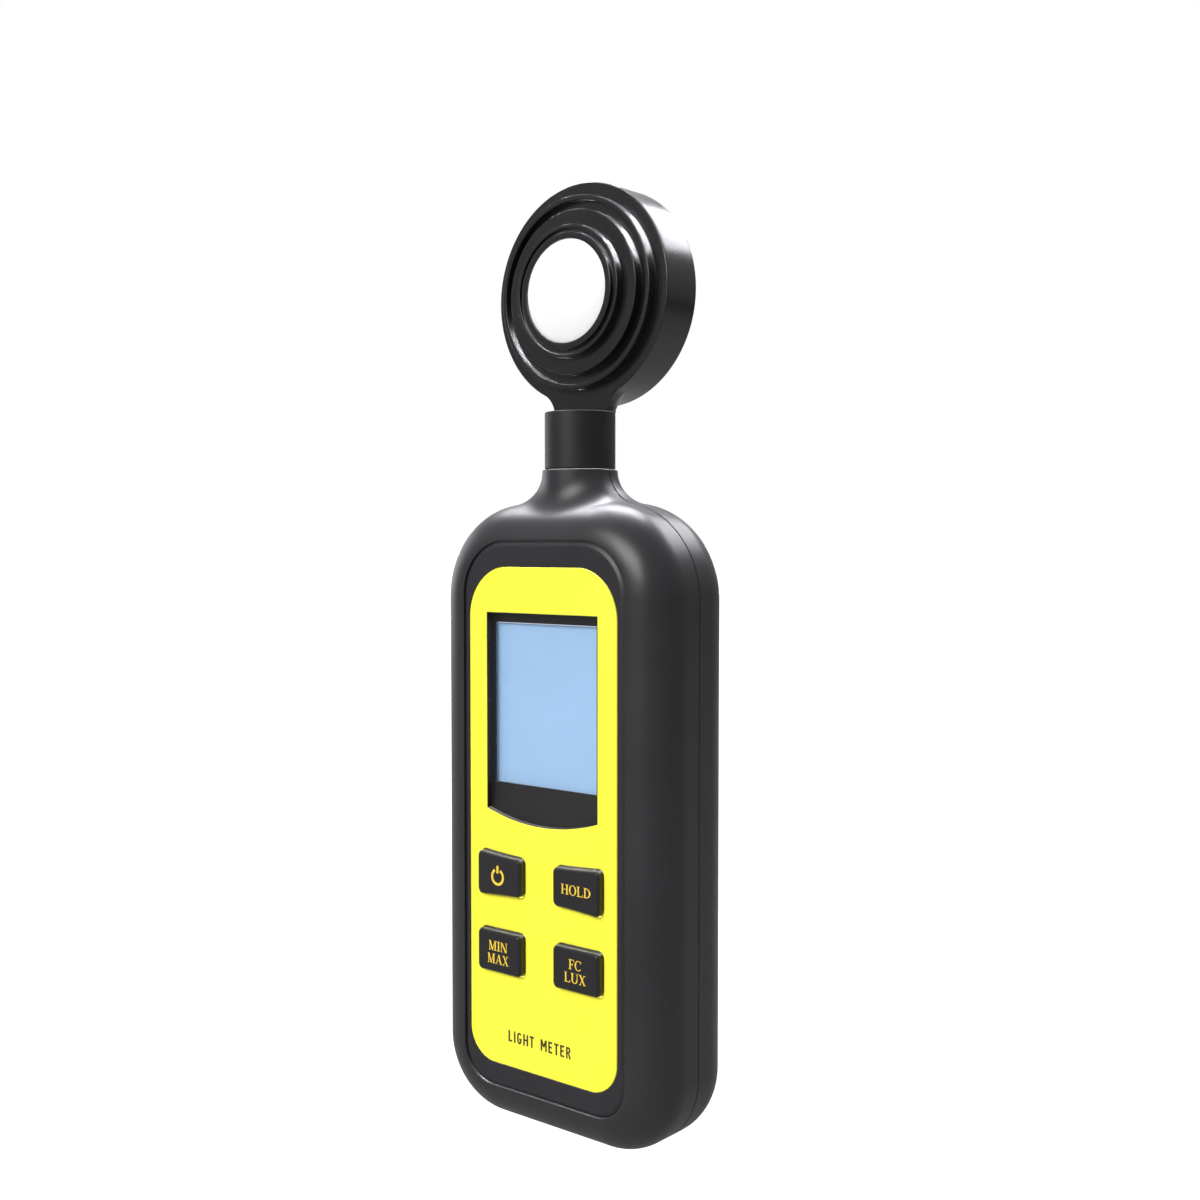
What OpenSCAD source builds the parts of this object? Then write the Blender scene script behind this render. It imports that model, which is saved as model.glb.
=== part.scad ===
// Handheld light meter: a two-shell body with a display and four keys, and a round sensor head
// that swivels on a short neck. Millimetres, +Z up, -Y is the front with the display.
// Origin: the swivel axis, on the parting plane of the shells, at the bottom of the body.

/* [Body] */
// Width of the body
body_w = 50; // [50:0.5:53]
// Height of the body up to its shoulder
body_h = 106.3; // [106.3:0.5:110.3]
// Depth of the body, front to back
body_d = 20.4; // [20.4:0.2:22]
// Wall thickness of the shells
wall = 1.8; // [1.6:0.1:2]

/* [Display and keys] */
// Width of the window in the yellow panel
window_w = 24.48; // [24:0.1:24.6]
// Width of one key
key_w = 9.9; // [9:0.1:10.2]
// Height of one key
key_h = 7.2; // [6.6:0.1:7.4]
// How far a key stands out of the panel
key_proud = 1.25; // [1:0.05:1.6]
// Travel of a key
key_travel = 0.6; // [0.4:0.05:0.6]

/* [Sensor head] */
// Radius of the head's disc
head_r = 18.5; // [18.4:0.1:19.5]
// Thickness of the head's disc
head_d = 7.9; // [7.9:0.1:9]
// Radius of the white diffuser where it meets its ring
dome_r = 8.55; // [8:0.05:8.55]
// Rise of the diffuser's dome
dome_rise = 2.2; // [1.5:0.1:3]
// Radius of the neck
neck_r = 6; // [6:0.1:6.3]
// Swivel of the head to each side, in degrees
swivel_stop = 135; // [120:1:135]

/* [Battery] */
// Radius of one cell
cell_r = 5.15; // [5:0.05:5.15]
// Length of one cell without its nub
cell_len = 43; // [42:0.5:43]

/* [Hidden] */
$fn = 96;

eps = 0.01;
gap = 0.05;
// How far a cutter reaches past the surface it cuts
over = 1;
half_w = body_w / 2;
half_d = body_d / 2;
front_y = -half_d;
seam_gap = 0.05;

// Outline of the body in front view, and the rounding of its long edges
edge_r = 6.4;
top_r = 16;
bottom_r = 13;
shell_inner = 3.1;
inner_front_d = half_d - shell_inner;
inner_front_r = 3.3;
inner_rear_d = half_d - wall;
inner_rear_r = edge_r - wall;

// Collar around the neck, with its concave flare
collar_r = 6.4;
collar_top = body_h + 5.7;
flare_r = 5.6;
flare_reach = 11.6;
side_flare_r = 4;
// The fillet circles are lowered a little so that they cross the surfaces they blend
flare_drop = 0.15;
side_flare_drop = 0.1;
side_half = half_d - 2.4;
bearing_r = 4.27;
bearing_block_r = 7.6;
bearing_top_gap = 1;
bearing_z = collar_top - 11;

// Face plate and yellow panel, as depths behind the front face
plate_half_w = 17.95;
plate_z0 = 6.4;
plate_z1 = body_h - 6.2;
plate_top_r = 9.35;
plate_bottom_r = 6.4;
plate_gap = 0.25;
plate_front = 0.1;
plate_back = 1.6;
recess_back = 1.7;
label_half_w = 16.24;
label_z0 = 10.6;
label_z1 = body_h - 10.7;
label_top_r = 8.5;
label_bottom_r = 5.5;
label_t = 0.8;
label_gap = 0.05;

// Window opening: flat top, lower edge a shallow arc
window_half = window_w / 2;
window_top = body_h - 18.4;
window_arc_r = 38.5;
window_bottom = window_top - 35.5;
bezel_half = 13;
bezel_top = window_top + 1.5;
bezel_bottom = window_bottom - 1;
bezel_back = 2;
bezel_lip_t = 0.4;
bezel_gap = 0.1;
chin_low = bezel_bottom + 0.6;
lcd_view_half = window_half - 0.42;
lcd_view_top = window_top - 1.7;
lcd_view_bottom = window_top - 29.1;
glass_front = 2.05;
glass_t = 0.45;
lcd_front = 2.55;
lcd_t = 2.2;
lcd_ledge = 1.6;
lcd_side_gap = 0.15;
window_corner = 0.6;
lcd_half = 13.5;
lcd_z0 = window_top - 32.4;
lcd_z1 = window_top + 1.1;
guide_front = 4.8;
guide_half = 12.4;
guide_z0 = lcd_z0 + 2.5;
guide_z1 = lcd_z1 - 1;
zebra_z0 = lcd_z0 - 1.4;
zebra_z1 = lcd_z0 + 0.8;
holder_half = 13.9;
holder_z0 = lcd_z0 - 2.6;
holder_z1 = lcd_z1 + 0.2;
holder_gap = 0.1;
board_front = 6.2;
board_t = 1.2;
board_back = board_front + board_t;
board_half = 22;
board_z0 = 12;
board_z1 = body_h - 11.3;
board_top_r = 3;
board_bottom_r = 2;
chip_t = 1.2;
small_part_t = 0.6;
small_part_w = 1.3;
small_part_z = [80, 80.8];
capacitor_r = 1.8;
capacitor_h = 3.6;
capacitor_z = 72;
capacitor_x = 16;
header_half = 3;
header_z0 = 84;
header_z1 = 88.5;
header_back_y = 1.6;
header_hole_z = 86.6;

// Keys
key_x = 8.53;
key_row_low = 30.2;
key_row_high = 43.3;
key_corner = 1;
key_gap = 0.15;
key_arc_r = 141;
key_flange_w = 0.8;
key_flange_front = 3.2;
key_back = 4;
// Height taken off each end of an upper key by the arcs, and the small shift of its middle
key_arc_cut = 0.7;
high_key_below = 0.2;
high_key_above = 0.4;
pad_front = key_back + key_travel + gap;
pad_r = 3.2;
sheet_half = 17;
sheet_z0 = 23;
sheet_z1 = 50.2;
sheet_r = 1.5;
sheet_front = board_front - 1.2;
sheet_back = board_front - 0.6;
switch_r = 2.9;
switch_t = 0.5;

// Battery bay
bay_half = 16.2;
bay_z0 = 9.4;
bay_z1 = 58.6;
bay_floor_y = -1.8;
bay_wall = 1.5;
bay_floor_t = 0.8;
bay_rim = bay_wall + 0.6;
low_boss_y = 6.9;
low_boss_z = 2.9;
cell_pitch = 10.6;
cell_y = 3.55;
spring_len = 2.6;
spring_r = 3;
spring_wire_r = 0.35;
spring_turns = 3;
spring_z = bay_z0 + 1;
cell_z0 = spring_z + spring_len + 0.45;
nub_r = 1.9;
nub_len = 0.9;
contact_half = 4.2;
contact_t = 0.4;
door_half = 17;
door_top = 62;
door_y = half_d - 1.3;
door_gap = 0.1;
rail_depth = 0.75;
rail_y0 = half_d - 1.1;
rail_y1 = half_d - 0.45;
grip_half = 7;
grip_z = 49;
grip_pitch = 1.8;
grip_h = 0.9;
grip_depth = 0.4;
grip_count = 5;

// Fasteners
case_screw_x = 16.6;
case_screw_z = body_h - 14.3;
case_pilot_r = 1.12;
case_clear_r = 1.25;
case_head_bore_r = 2.3;
board_pilot_r = 0.85;
board_clear_r = 0.95;
front_boss_r = 2.3;
board_boss_r = 1.9;
case_pilot_y = -6;
board_pilot_y = -7.4;
case_head_r = 2.05;
case_head_h = 1.6;
case_shank_r = 1.05;
case_tip_y = -5.4;
small_head_r = 1.6;
small_head_h = 1;
small_shank_r = 0.8;
board_tip_y = -6.6;
// Cross recess of a screw: its reach and depth as shares of the head, and half its width
recess_reach = 0.7;
recess_depth = 0.5;
recess_half = 0.18;
low_screw_x = 10;
low_screw_z = 5.5;
screw_seat_y = 6;
boss_r = 3.2;
boss_gap = 0.3;
board_hole_gap = 0.2;
board_screw_x = 20.3;
board_screw_z = [20, 84];
insert_z = 76;
insert_r = 4.6;
insert_bore_r = 2.55;
insert_bore_len = 5.5;
insert_len = 6.55;
insert_wall = 1.7;
insert_boss_y = 2.4;

// Neck and head
neck_z0 = collar_top + 0.15;
neck_z1 = neck_z0 + 9.55;
head_z = neck_z1 + 20;
stem_half = 5.9;
stem_top_half = 8.2;
stem_fillet = 4;
flange_r = 5.6;
flange_z0 = bearing_z - 1.8;
flange_z1 = bearing_z - 0.2;
flange_gap = 0.2;
lug_gap = 0.3;
lug_r = 7.2;
lug_half_deg = 12;
stop_slack_deg = 1;
stop_half_deg = 180 - swivel_stop - lug_half_deg - stop_slack_deg;
spigot_r = 4.2;
spigot_bore_r = 2;
friction_r = 3.6;
friction_z = collar_top - 5;
friction_wire_r = 0.58;
friction_groove_r = 0.62;
cable_r = 0.8;
cable_gap = 0.3;
tenon_y = 2.8;
tenon_half = 2.5;
tenon_t = 3.6;
tenon_gap = 0.1;
tenon_z = neck_z0 + 2.95;
cable_bend_z = [neck_z0 + 0.45, neck_z0 + 2.25];
cable_room_z = neck_z0 + 0.75;
cable_room_r = 4.2;
cable_room_h = 2.1;
cable_bore_r = 1;
cable_start_z = 87;
cable_end_y = 5.3;
head_wall = 1.6;
head_inner_r = head_r - 1.8;
cover_y = head_d - 1.6;
head_screw_r = 12.6;
head_boss_r = 2.2;
head_boss_y = 3.35;
head_pilot_r = 0.85;
head_clear_r = 0.95;
head_bore_r = 1.9;
head_seat_y = head_d - 1.3;
head_screw_head_r = 1.75;
head_tip_y = 0.4;
sensor_board_r = 15.6;
sensor_board_y = [3.4, 4.4];
cover_boss_y = 4.45;
board_notch_half = 2;
board_notch_top = head_z - 13;
step_rim_r = [16.15, 15.35];
step_rim_h = 1.85;
step_floor_h = 0.55;
step_ring_r = 13.75;
step_ring_h = 2.32;
bezel_ring_r = 11.06;
bezel_rim_r = 10.44;
bezel_rim_h = 3.68;
bezel_floor_h = 3.15;
bezel_lip_r = 9.76;
bezel_lip_h = 3.9;
bezel_seat_h = 1.05;
ring_skirt_r = [9.1, 9.85];
ring_skirt_h = -1.4;
ring_bore_r = 9.05;
dome_seat_h = 3.1;
dome_foot_r = 9;
dome_foot_h = [1.9, 3.05];
dome_edge_h = 3.7;
dome_skin = 1.1;
dome_gap = 0.08;
step_root = -0.2;
step_in_r = 8.6;
head_hole_r = 9.9;
filter_r = 8.9;
filter_h = [-1.1, -0.2];
sensor_can_r = 4.1;
sensor_can_h = [-3.35, -2];
sensor_eye_r = 2.8;
sensor_eye_h = -1.4;

// Depth behind the front face, as a Y coordinate
function depth(d) = front_y + d;

// ---------- Shapes that repeat ----------

// Extrudes a front-view (X, Z) shape from y0 back to y1
module slab(y0, y1) {
    translate([0, y1, 0]) rotate([90, 0, 0]) linear_extrude(y1 - y0) children();
}

// Extrudes a side-view (Y, Z) shape across X
module across(half) {
    translate([-half, 0, 0]) rotate([90, 0, 90]) linear_extrude(2 * half) children();
}

// Cylinder along Y, from y0 to y1
module rod_y(x, z, r, y0, y1) {
    translate([x, y0, z]) rotate([-90, 0, 0]) cylinder(r = r, h = y1 - y0);
}

// Box from one corner to the other
module block(lo, hi) {
    translate(lo) cube(hi - lo);
}

// Rounded rectangle with its own top and bottom corner radii
module rounded_2d(half, z0, z1, rt, rb) {
    translate([-half, z0 + rb]) square([2 * half, z1 - z0 - rb - rt]);
    translate([-half + rb, z0]) square([2 * (half - rb), rb + eps]);
    translate([-half + rt, z1 - rt - eps]) square([2 * (half - rt), rt + eps]);
    for (s = [-1, 1]) {
        translate([s * (half - rb), z0 + rb]) circle(rb);
        translate([s * (half - rt), z1 - rt]) circle(rt);
    }
}

// Cross-section of the rim of a half body: r runs outwards, y towards the face
module rim_2d(r0, f, d) {
    translate([r0, 0]) {
        square([f, d - f]);
        translate([0, d - f]) intersection() {
            circle(f);
            square([f, f]);
        }
    }
}

// Half of the rounded body, thickness d, its outline moved in by inset, its edge rounded by f.
// Built lying down: local z is the distance from the parting plane.
module half_body_flat(inset, f, d) {
    half = half_w - inset;
    rt = top_r - inset;
    rb = bottom_r - inset;
    z0 = inset;
    z1 = body_h - inset;
    cxt = half - rt;
    cxb = half - rb;
    linear_extrude(d) rounded_2d(half - f, z0 + f, z1 - f, rt - f, rb - f);
    for (s = [0, 1]) mirror([s, 0, 0]) {
        translate([cxt, z1 - rt, 0]) rotate_extrude(angle = 90) rim_2d(rt - f, f, d);
        translate([cxb, z0 + rb, 0]) rotate([0, 0, -90]) rotate_extrude(angle = 90)
            rim_2d(rb - f, f, d);
        translate([0, z1 - rt, 0]) rotate([90, 0, 0]) linear_extrude(z1 - rt - z0 - rb)
            rim_2d(half - f, f, d);
    }
    translate([cxt, z1 - rt, 0]) rotate([90, 0, -90]) linear_extrude(2 * cxt)
        rim_2d_up(rt - f, f, d);
    translate([cxb, z0 + rb, 0]) rotate([90, 0, -90]) linear_extrude(2 * cxb)
        mirror([1, 0]) rim_2d_up(rb - f, f, d);
}

// The rim's cross-section for a straight run along X, drawn with its outside to the left
module rim_2d_up(r0, f, d) {
    mirror([1, 0]) rim_2d(r0, f, d);
}

module front_half(inset, f, d) {
    rotate([90, 0, 0]) half_body_flat(inset, f, d);
}

module rear_half(inset, f, d) {
    mirror([0, 1, 0]) front_half(inset, f, d);
}

// Concave flare from the shoulder up to the collar, cut to the depth of the body
module flare() {
    intersection() {
        rotate_extrude() difference() {
            translate([0, body_h - edge_r]) square([flare_reach, collar_top - body_h + edge_r]);
            translate([collar_r + flare_r, collar_top - flare_drop]) circle(flare_r);
        }
        across(flare_reach + over) side_profile();
    }
}

// Side view of the shoulder: straight collar, concave blend, then the body's rounded edge
module side_profile() {
    blend_y = collar_r + side_flare_r;
    blend_z = body_h - edge_r + sqrt(pow(edge_r + side_flare_r, 2)
        - pow(blend_y - (half_d - edge_r), 2));
    difference() {
        translate([-side_half, body_h - edge_r])
            square([2 * side_half, collar_top - body_h + edge_r]);
        for (s = [-1, 1]) {
            translate([s * blend_y, blend_z - side_flare_drop]) circle(side_flare_r);
            translate([s * (blend_y + side_flare_r) - side_flare_r, blend_z - side_flare_drop])
                square([2 * side_flare_r, collar_top]);
        }
    }
}

// Half-space in front of the parting plane, or behind it
module keep_front() {
    intersection() {
        children();
        block([-half_w, -half_d - over, -over], [half_w, 0, collar_top + over]);
    }
}

module keep_rear() {
    intersection() {
        children();
        block([-half_w, seam_gap, -over], [half_w, half_d + over, collar_top + over]);
    }
}

// Wedge of a ring about the swivel axis, centred on a direction
module ring_wedge(r0, r1, z0, z1, dir, half_deg) {
    rotate([0, 0, dir - half_deg]) translate([0, 0, z0]) rotate_extrude(angle = 2 * half_deg)
        translate([r0, 0]) square([r1 - r0, z1 - z0]);
}

// Outline of the window in the panel
module window_2d(grow = 0) {
    intersection() {
        translate([-window_half - grow, window_bottom - over - grow])
            square([2 * (window_half + grow), window_top - window_bottom + over + 2 * grow]);
        translate([0, window_bottom + window_arc_r]) circle(window_arc_r + grow, $fn = 180);
    }
}

// Outline of a lower key: a rounded rectangle
module low_key_2d(side, grow = 0) {
    translate([side * key_x, 0])
        rounded_2d(key_w / 2 + grow, key_row_low - key_h / 2 - grow,
            key_row_low + key_h / 2 + grow, key_corner + grow, key_corner + grow);
}

// Outline of an upper key: its top and bottom edges follow two shallow arcs
module high_key_2d(side, grow = 0) {
    z0 = key_row_high - key_h / 2 - high_key_below;
    z1 = key_row_high + key_h / 2 + high_key_above;
    difference() {
        translate([side * key_x, 0])
            rounded_2d(key_w / 2 + grow, z0 - grow, z1 + grow, key_corner + grow, key_corner + grow);
        translate([0, z1 - key_arc_cut + key_arc_r]) circle(key_arc_r - grow, $fn = 360);
        translate([0, z0 + key_arc_cut - key_arc_r]) circle(key_arc_r - grow, $fn = 360);
    }
}

module all_keys_2d(grow = 0) {
    for (side = [-1, 1]) {
        low_key_2d(side, grow);
        high_key_2d(side, grow);
    }
}

module plate_2d(grow = 0) {
    rounded_2d(plate_half_w + grow, plate_z0 - grow, plate_z1 + grow,
        plate_top_r + grow, plate_bottom_r + grow);
}

module label_2d(grow = 0) {
    rounded_2d(label_half_w + grow, label_z0 - grow, label_z1 + grow,
        label_top_r + grow, label_bottom_r + grow);
}

module bezel_2d(grow = 0) {
    translate([-bezel_half - grow, bezel_bottom - grow])
        square([2 * (bezel_half + grow), bezel_top - bezel_bottom + 2 * grow]);
}

// Places children at the four case screws
module at_case_screws() {
    for (s = [-1, 1]) {
        translate([s * case_screw_x, 0, case_screw_z]) children();
        translate([s * low_screw_x, 0, low_screw_z]) children();
    }
}

module at_board_screws() {
    for (s = [-1, 1], z = board_screw_z) translate([s * board_screw_x, 0, z]) children();
}

// ---------- Housing ----------

module front_shell() color([0.2, 0.2, 0.215]) {
    difference() {
        union() {
            difference() {
                front_half(0, edge_r, half_d);
                translate([0, eps, 0]) front_half(wall, inner_front_r, inner_front_d + eps);
            }
            keep_front() flare();
            keep_front() translate([0, 0, bearing_z])
                cylinder(r = bearing_block_r, h = body_h - bearing_z - bearing_top_gap);
            at_case_screws() rod_y(0, 0, front_boss_r, depth(shell_inner) - eps, 0);
            at_board_screws()
                rod_y(0, 0, board_boss_r, depth(shell_inner) - eps, depth(board_front) - gap);
        }
        neck_bore();
        slab(front_y - over, depth(recess_back)) plate_2d();
        slab(front_y - over, -eps) display_opening_2d();
        slab(front_y - over, depth(shell_inner) + eps) all_keys_2d(key_gap);
        at_case_screws() rod_y(0, 0, case_pilot_r, case_pilot_y, over);
        at_board_screws() rod_y(0, 0, board_pilot_r, board_pilot_y, 0);
    }
    // Stop for the neck's lug
    ring_wedge(flange_r + lug_gap, bearing_block_r, flange_z0 - flange_gap, bearing_z + eps, -90,
        stop_half_deg);
}

// Bearing bore for the neck, with room below it for the flange and the turning lug
module neck_bore() {
    translate([0, 0, bearing_z - over]) cylinder(r = bearing_r, h = collar_top);
    translate([0, 0, flange_z0 - flange_gap])
        cylinder(r = lug_r + lug_gap, h = bearing_z - flange_z0 + flange_gap);
}

// Opening of the front shell behind the window
module display_opening_2d() {
    translate([-lcd_half - lcd_side_gap, bezel_bottom - lcd_side_gap])
        square([2 * (lcd_half + lcd_side_gap), bezel_top - bezel_bottom + 2 * lcd_side_gap]);
}

module rear_shell() color([0.19, 0.19, 0.205]) {
    difference() {
        union() {
            keep_rear() difference() {
                rear_half(0, edge_r, half_d);
                rear_half(wall, inner_rear_r, inner_rear_d);
            }
            keep_rear() flare();
            keep_rear() translate([0, 0, bearing_z])
                cylinder(r = bearing_block_r, h = body_h - bearing_z - bearing_top_gap);
            block([-bay_half - bay_rim, bay_floor_y - bay_floor_t, bay_z0 - bay_wall],
                [bay_half + bay_rim, door_y + eps, bay_z1 + bay_wall]);
            block([-low_screw_x - boss_r, low_boss_y, low_boss_z],
                [low_screw_x + boss_r, door_y, bay_z0]);
            for (s = [-1, 1]) {
                rod_y(s * case_screw_x, case_screw_z, boss_r, seam_gap, half_d - over);
                rod_y(s * low_screw_x, low_screw_z, boss_r, seam_gap, door_y - boss_gap);
            }
            rod_y(0, insert_z, insert_r + insert_wall, insert_boss_y, half_d - over);
        }
        neck_bore();
        // Battery bay, open to the back
        block([-bay_half, bay_floor_y, bay_z0], [bay_half, half_d + over, bay_z1]);
        // Seat of the door, with a groove along each side
        block([-door_half, door_y, -over], [door_half, half_d + over, door_top]);
        block([-door_half - rail_depth, rail_y0, -over], [door_half + rail_depth, rail_y1, door_top]);
        block([-door_half - rail_depth, door_y, -over], [door_half + rail_depth, half_d + over, bay_z0]);
        at_case_screws() {
            rod_y(0, 0, case_head_bore_r, screw_seat_y, half_d + over);
            rod_y(0, 0, case_clear_r, -over, half_d);
        }
        rod_y(0, insert_z, insert_r + gap, half_d - insert_len - 2 * gap, half_d + over);
    }
}

module face_plate() color([0.215, 0.21, 0.23]) {
    difference() {
        slab(depth(plate_front), depth(plate_back)) plate_2d(-plate_gap);
        slab(front_y - over, depth(label_t + label_gap)) label_2d(label_gap);
        slab(front_y - over, 0) bezel_2d(bezel_gap);
        slab(front_y - over, 0) all_keys_2d(key_gap);
    }
}

module label_panel() color([1, 0.98, 0.2]) {
    difference() {
        slab(front_y, depth(label_t)) label_2d();
        slab(front_y - over, 0) window_2d();
        slab(front_y - over, 0) all_keys_2d(key_gap);
    }
}

// Frame behind the panel with a sloping chin that leads down to the display
module display_bezel() color([0.17, 0.17, 0.185]) {
    difference() {
        slab(depth(label_t + label_gap), depth(bezel_back)) bezel_2d();
        slab(front_y, depth(bezel_back - bezel_lip_t))
            translate([-window_half, lcd_view_bottom])
                square([2 * window_half, window_top - lcd_view_bottom]);
        across(window_half) polygon([
            [depth(0), lcd_view_bottom + eps],
            [depth(bezel_back - bezel_lip_t), lcd_view_bottom + eps],
            [depth(label_t + 2 * label_gap), chin_low],
            [depth(0), chin_low]]);
        slab(front_y, 0) translate([-lcd_view_half, lcd_view_bottom])
            square([2 * lcd_view_half, lcd_view_top - lcd_view_bottom]);
    }
}

module display_window() color([0.85, 0.92, 0.95, 0.35]) {
    slab(depth(glass_front), depth(glass_front + glass_t))
        rounded_2d(bezel_half, lcd_z0, lcd_z1, window_corner, window_corner);
}

module lcd_glass() color([0.64, 0.79, 0.93]) {
    slab(depth(lcd_front), depth(lcd_front + lcd_t / 2))
        translate([-lcd_half, lcd_z0]) square([2 * lcd_half, lcd_z1 - lcd_z0]);
    slab(depth(lcd_front + lcd_t / 2) - eps, depth(lcd_front + lcd_t))
        translate([-lcd_half, lcd_z0 - lcd_ledge])
            square([2 * lcd_half, lcd_z1 - lcd_z0 + lcd_ledge]);
}

module light_guide() color([0.93, 0.95, 0.97]) {
    slab(depth(guide_front), depth(board_front) - gap)
        translate([-guide_half, guide_z0]) square([2 * guide_half, guide_z1 - guide_z0]);
}

// Strip of conductive rubber between the display's terminals and the board
module zebra_strip() color([0.85, 0.45, 0.5]) {
    slab(depth(guide_front), depth(board_front) - gap)
        translate([-guide_half, zebra_z0]) square([2 * guide_half, zebra_z1 - zebra_z0]);
}

module display_holder() color([0.9, 0.9, 0.88]) {
    difference() {
        slab(depth(guide_front), depth(board_front) - gap)
            translate([-holder_half, holder_z0]) square([2 * holder_half, holder_z1 - holder_z0]);
        slab(front_y, 0) translate([-guide_half - holder_gap, guide_z0 - holder_gap])
            square([2 * (guide_half + holder_gap), guide_z1 - guide_z0 + 2 * holder_gap]);
        slab(front_y, 0) translate([-guide_half - holder_gap, zebra_z0 - holder_gap])
            square([2 * (guide_half + holder_gap), zebra_z1 - zebra_z0 + 2 * holder_gap]);
    }
}

module main_board() color([0.1, 0.38, 0.2]) {
    difference() {
        slab(depth(board_front), depth(board_back))
            rounded_2d(board_half, board_z0, board_z1, board_top_r, board_bottom_r);
        for (s = [-1, 1]) rod_y(s * case_screw_x, case_screw_z, front_boss_r + board_hole_gap, front_y, 0);
        at_board_screws() rod_y(0, 0, board_clear_r, front_y, 0);
    }
}

// Parts soldered to the back of the board: a processor, a driver, capacitors and resistors
module board_components() color([0.12, 0.12, 0.13]) {
    y0 = depth(board_back) + gap;
    processor = [-12, -5, 66, 73];
    driver = [6, 12, 70, 75];
    for (chip = [processor, driver]) block([chip[0], y0, chip[2]], [chip[1], y0 + chip_t, chip[3]]);
    small_part_x = [-12, -9.6, -7.2, -4.8, -2.4, 6, 8, 10, 12];
    for (x = small_part_x)
        block([x, y0, small_part_z[0]], [x + small_part_w, y0 + small_part_t, small_part_z[1]]);
    for (s = [-1, 1]) rod_y(s * capacitor_x, capacitor_z, capacitor_r, y0, y0 + capacitor_h);
}

module dome_switches() color([0.8, 0.8, 0.82]) {
    for (side = [-1, 1], z = [key_row_low, key_row_high])
        rod_y(side * key_x, z, switch_r, depth(board_front) - switch_t, depth(board_front) - gap / 2);
}

// Silicone sheet with a raised pad behind each key
module keypad_membrane() color([0.55, 0.55, 0.56]) {
    slab(depth(sheet_front), depth(sheet_back))
        rounded_2d(sheet_half, sheet_z0, sheet_z1, sheet_r, sheet_r);
    for (side = [-1, 1], z = [key_row_low, key_row_high])
        rod_y(side * key_x, z, pad_r, depth(pad_front), depth(sheet_front) + 2 * gap);
}

module cable_header() color([0.92, 0.91, 0.85]) {
    difference() {
        block([-header_half, depth(board_back) + gap, header_z0],
            [header_half, header_back_y, header_z1]);
        translate([0, 0, header_hole_z]) cylinder(r = cable_r + cable_gap, h = header_z1);
    }
}

// Small pan-head screw along Y: head at the back, shank pointing to the front
module screw(seat_y, pan_r, head_h, shank_r, tip_y) {
    reach = pan_r * recess_reach;
    floor_y = seat_y + head_h * recess_depth;
    difference() {
        rod_y(0, 0, pan_r, seat_y, seat_y + head_h);
        block([-reach, floor_y, -recess_half], [reach, seat_y + head_h + over, recess_half]);
        block([-recess_half, floor_y, -reach], [recess_half, seat_y + head_h + over, reach]);
    }
    rod_y(0, 0, shank_r, tip_y, seat_y + eps);
}

module board_screws() color([0.75, 0.75, 0.77]) {
    at_board_screws()
        screw(depth(board_back) + gap, small_head_r, small_head_h, small_shank_r, board_tip_y);
}

module case_screws() color([0.7, 0.7, 0.72]) {
    at_case_screws()
        screw(screw_seat_y + gap, case_head_r, case_head_h, case_shank_r, case_tip_y);
}

// Threaded brass insert for a tripod screw, open to the back
module tripod_insert() color([0.85, 0.68, 0.3]) {
    difference() {
        rod_y(0, insert_z, insert_r, half_d - insert_len - gap, half_d - gap);
        rod_y(0, insert_z, insert_bore_r, half_d - gap - insert_bore_len, half_d + over);
    }
}

// ---------- Battery bay ----------

// x position of each cell, and whether it stands the other way up
function cell_x(i) = (i - 1) * cell_pitch;
function flipped(i) = i % 2;

// A round wire coil along Z, as one closed surface
module coil(r, wire, turns, len) {
    ring = 6;
    per_turn = 14;
    steps = turns * per_turn;
    pts = [for (i = [0:steps], k = [0:ring - 1])
        let (a = 360 * i / per_turn, b = 360 * k / ring)
        [(r + wire * cos(b)) * cos(a), (r + wire * cos(b)) * sin(a), len * i / steps + wire * sin(b)]];
    sides = [for (i = [0:steps - 1], k = [0:ring - 1])
        let (n = (k + 1) % ring)
        [i * ring + k, i * ring + n, (i + 1) * ring + n, (i + 1) * ring + k]];
    first = [[for (k = [ring - 1:-1:0]) k]];
    last = [[for (k = [0:ring - 1]) steps * ring + k]];
    polyhedron(points = pts, faces = concat(sides, first, last), convexity = 10);
}

// Puts children at cell i, turned over where the cell is
module at_cell(i) {
    mid = (bay_z0 + bay_z1) / 2;
    translate([cell_x(i), cell_y, 0])
        translate([0, 0, flipped(i) ? 2 * mid : 0]) mirror([0, 0, flipped(i)]) children();
}

module battery_springs() color([0.78, 0.78, 0.75]) {
    for (i = [0:2]) at_cell(i) translate([0, 0, spring_z]) 
        coil(spring_r, spring_wire_r, spring_turns, spring_len);
}

module battery_contacts() color([0.8, 0.8, 0.76]) {
    for (i = [0:2], end = [0, 1]) {
        z = end == 0 ? bay_z0 + gap : bay_z1 - gap - contact_t;
        block([cell_x(i) - contact_half, cell_y - contact_half, z],
            [cell_x(i) + contact_half, cell_y + contact_half, z + contact_t]);
    }
}

module battery_cells() color([0.3, 0.32, 0.36]) {
    for (i = [0:2]) at_cell(i) translate([0, 0, cell_z0]) {
        cylinder(r = cell_r, h = cell_len);
        cylinder(r = nub_r, h = cell_len + nub_len);
    }
}

module battery_door() color([0.19, 0.19, 0.205]) {
    difference() {
        union() {
            intersection() {
                rear_half(gap, edge_r, half_d - gap);
                union() {
                    block([-door_half + door_gap, door_y + gap, -over],
                        [door_half - door_gap, half_d + over, door_top - door_gap]);
                    block([-door_half - rail_depth + door_gap, door_y + gap, -over],
                        [door_half + rail_depth - door_gap, half_d + over, bay_z0 - door_gap]);
                }
            }
            block([-door_half - rail_depth + door_gap, rail_y0 + gap, bay_z0 - over],
                [door_half + rail_depth - door_gap, rail_y1 - gap, door_top - door_gap]);
        }
        for (i = [0:grip_count - 1]) translate([0, 0, grip_z + grip_pitch * i])
            block([-grip_half, half_d - grip_depth, 0], [grip_half, half_d + over, grip_h]);
    }
}

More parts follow.
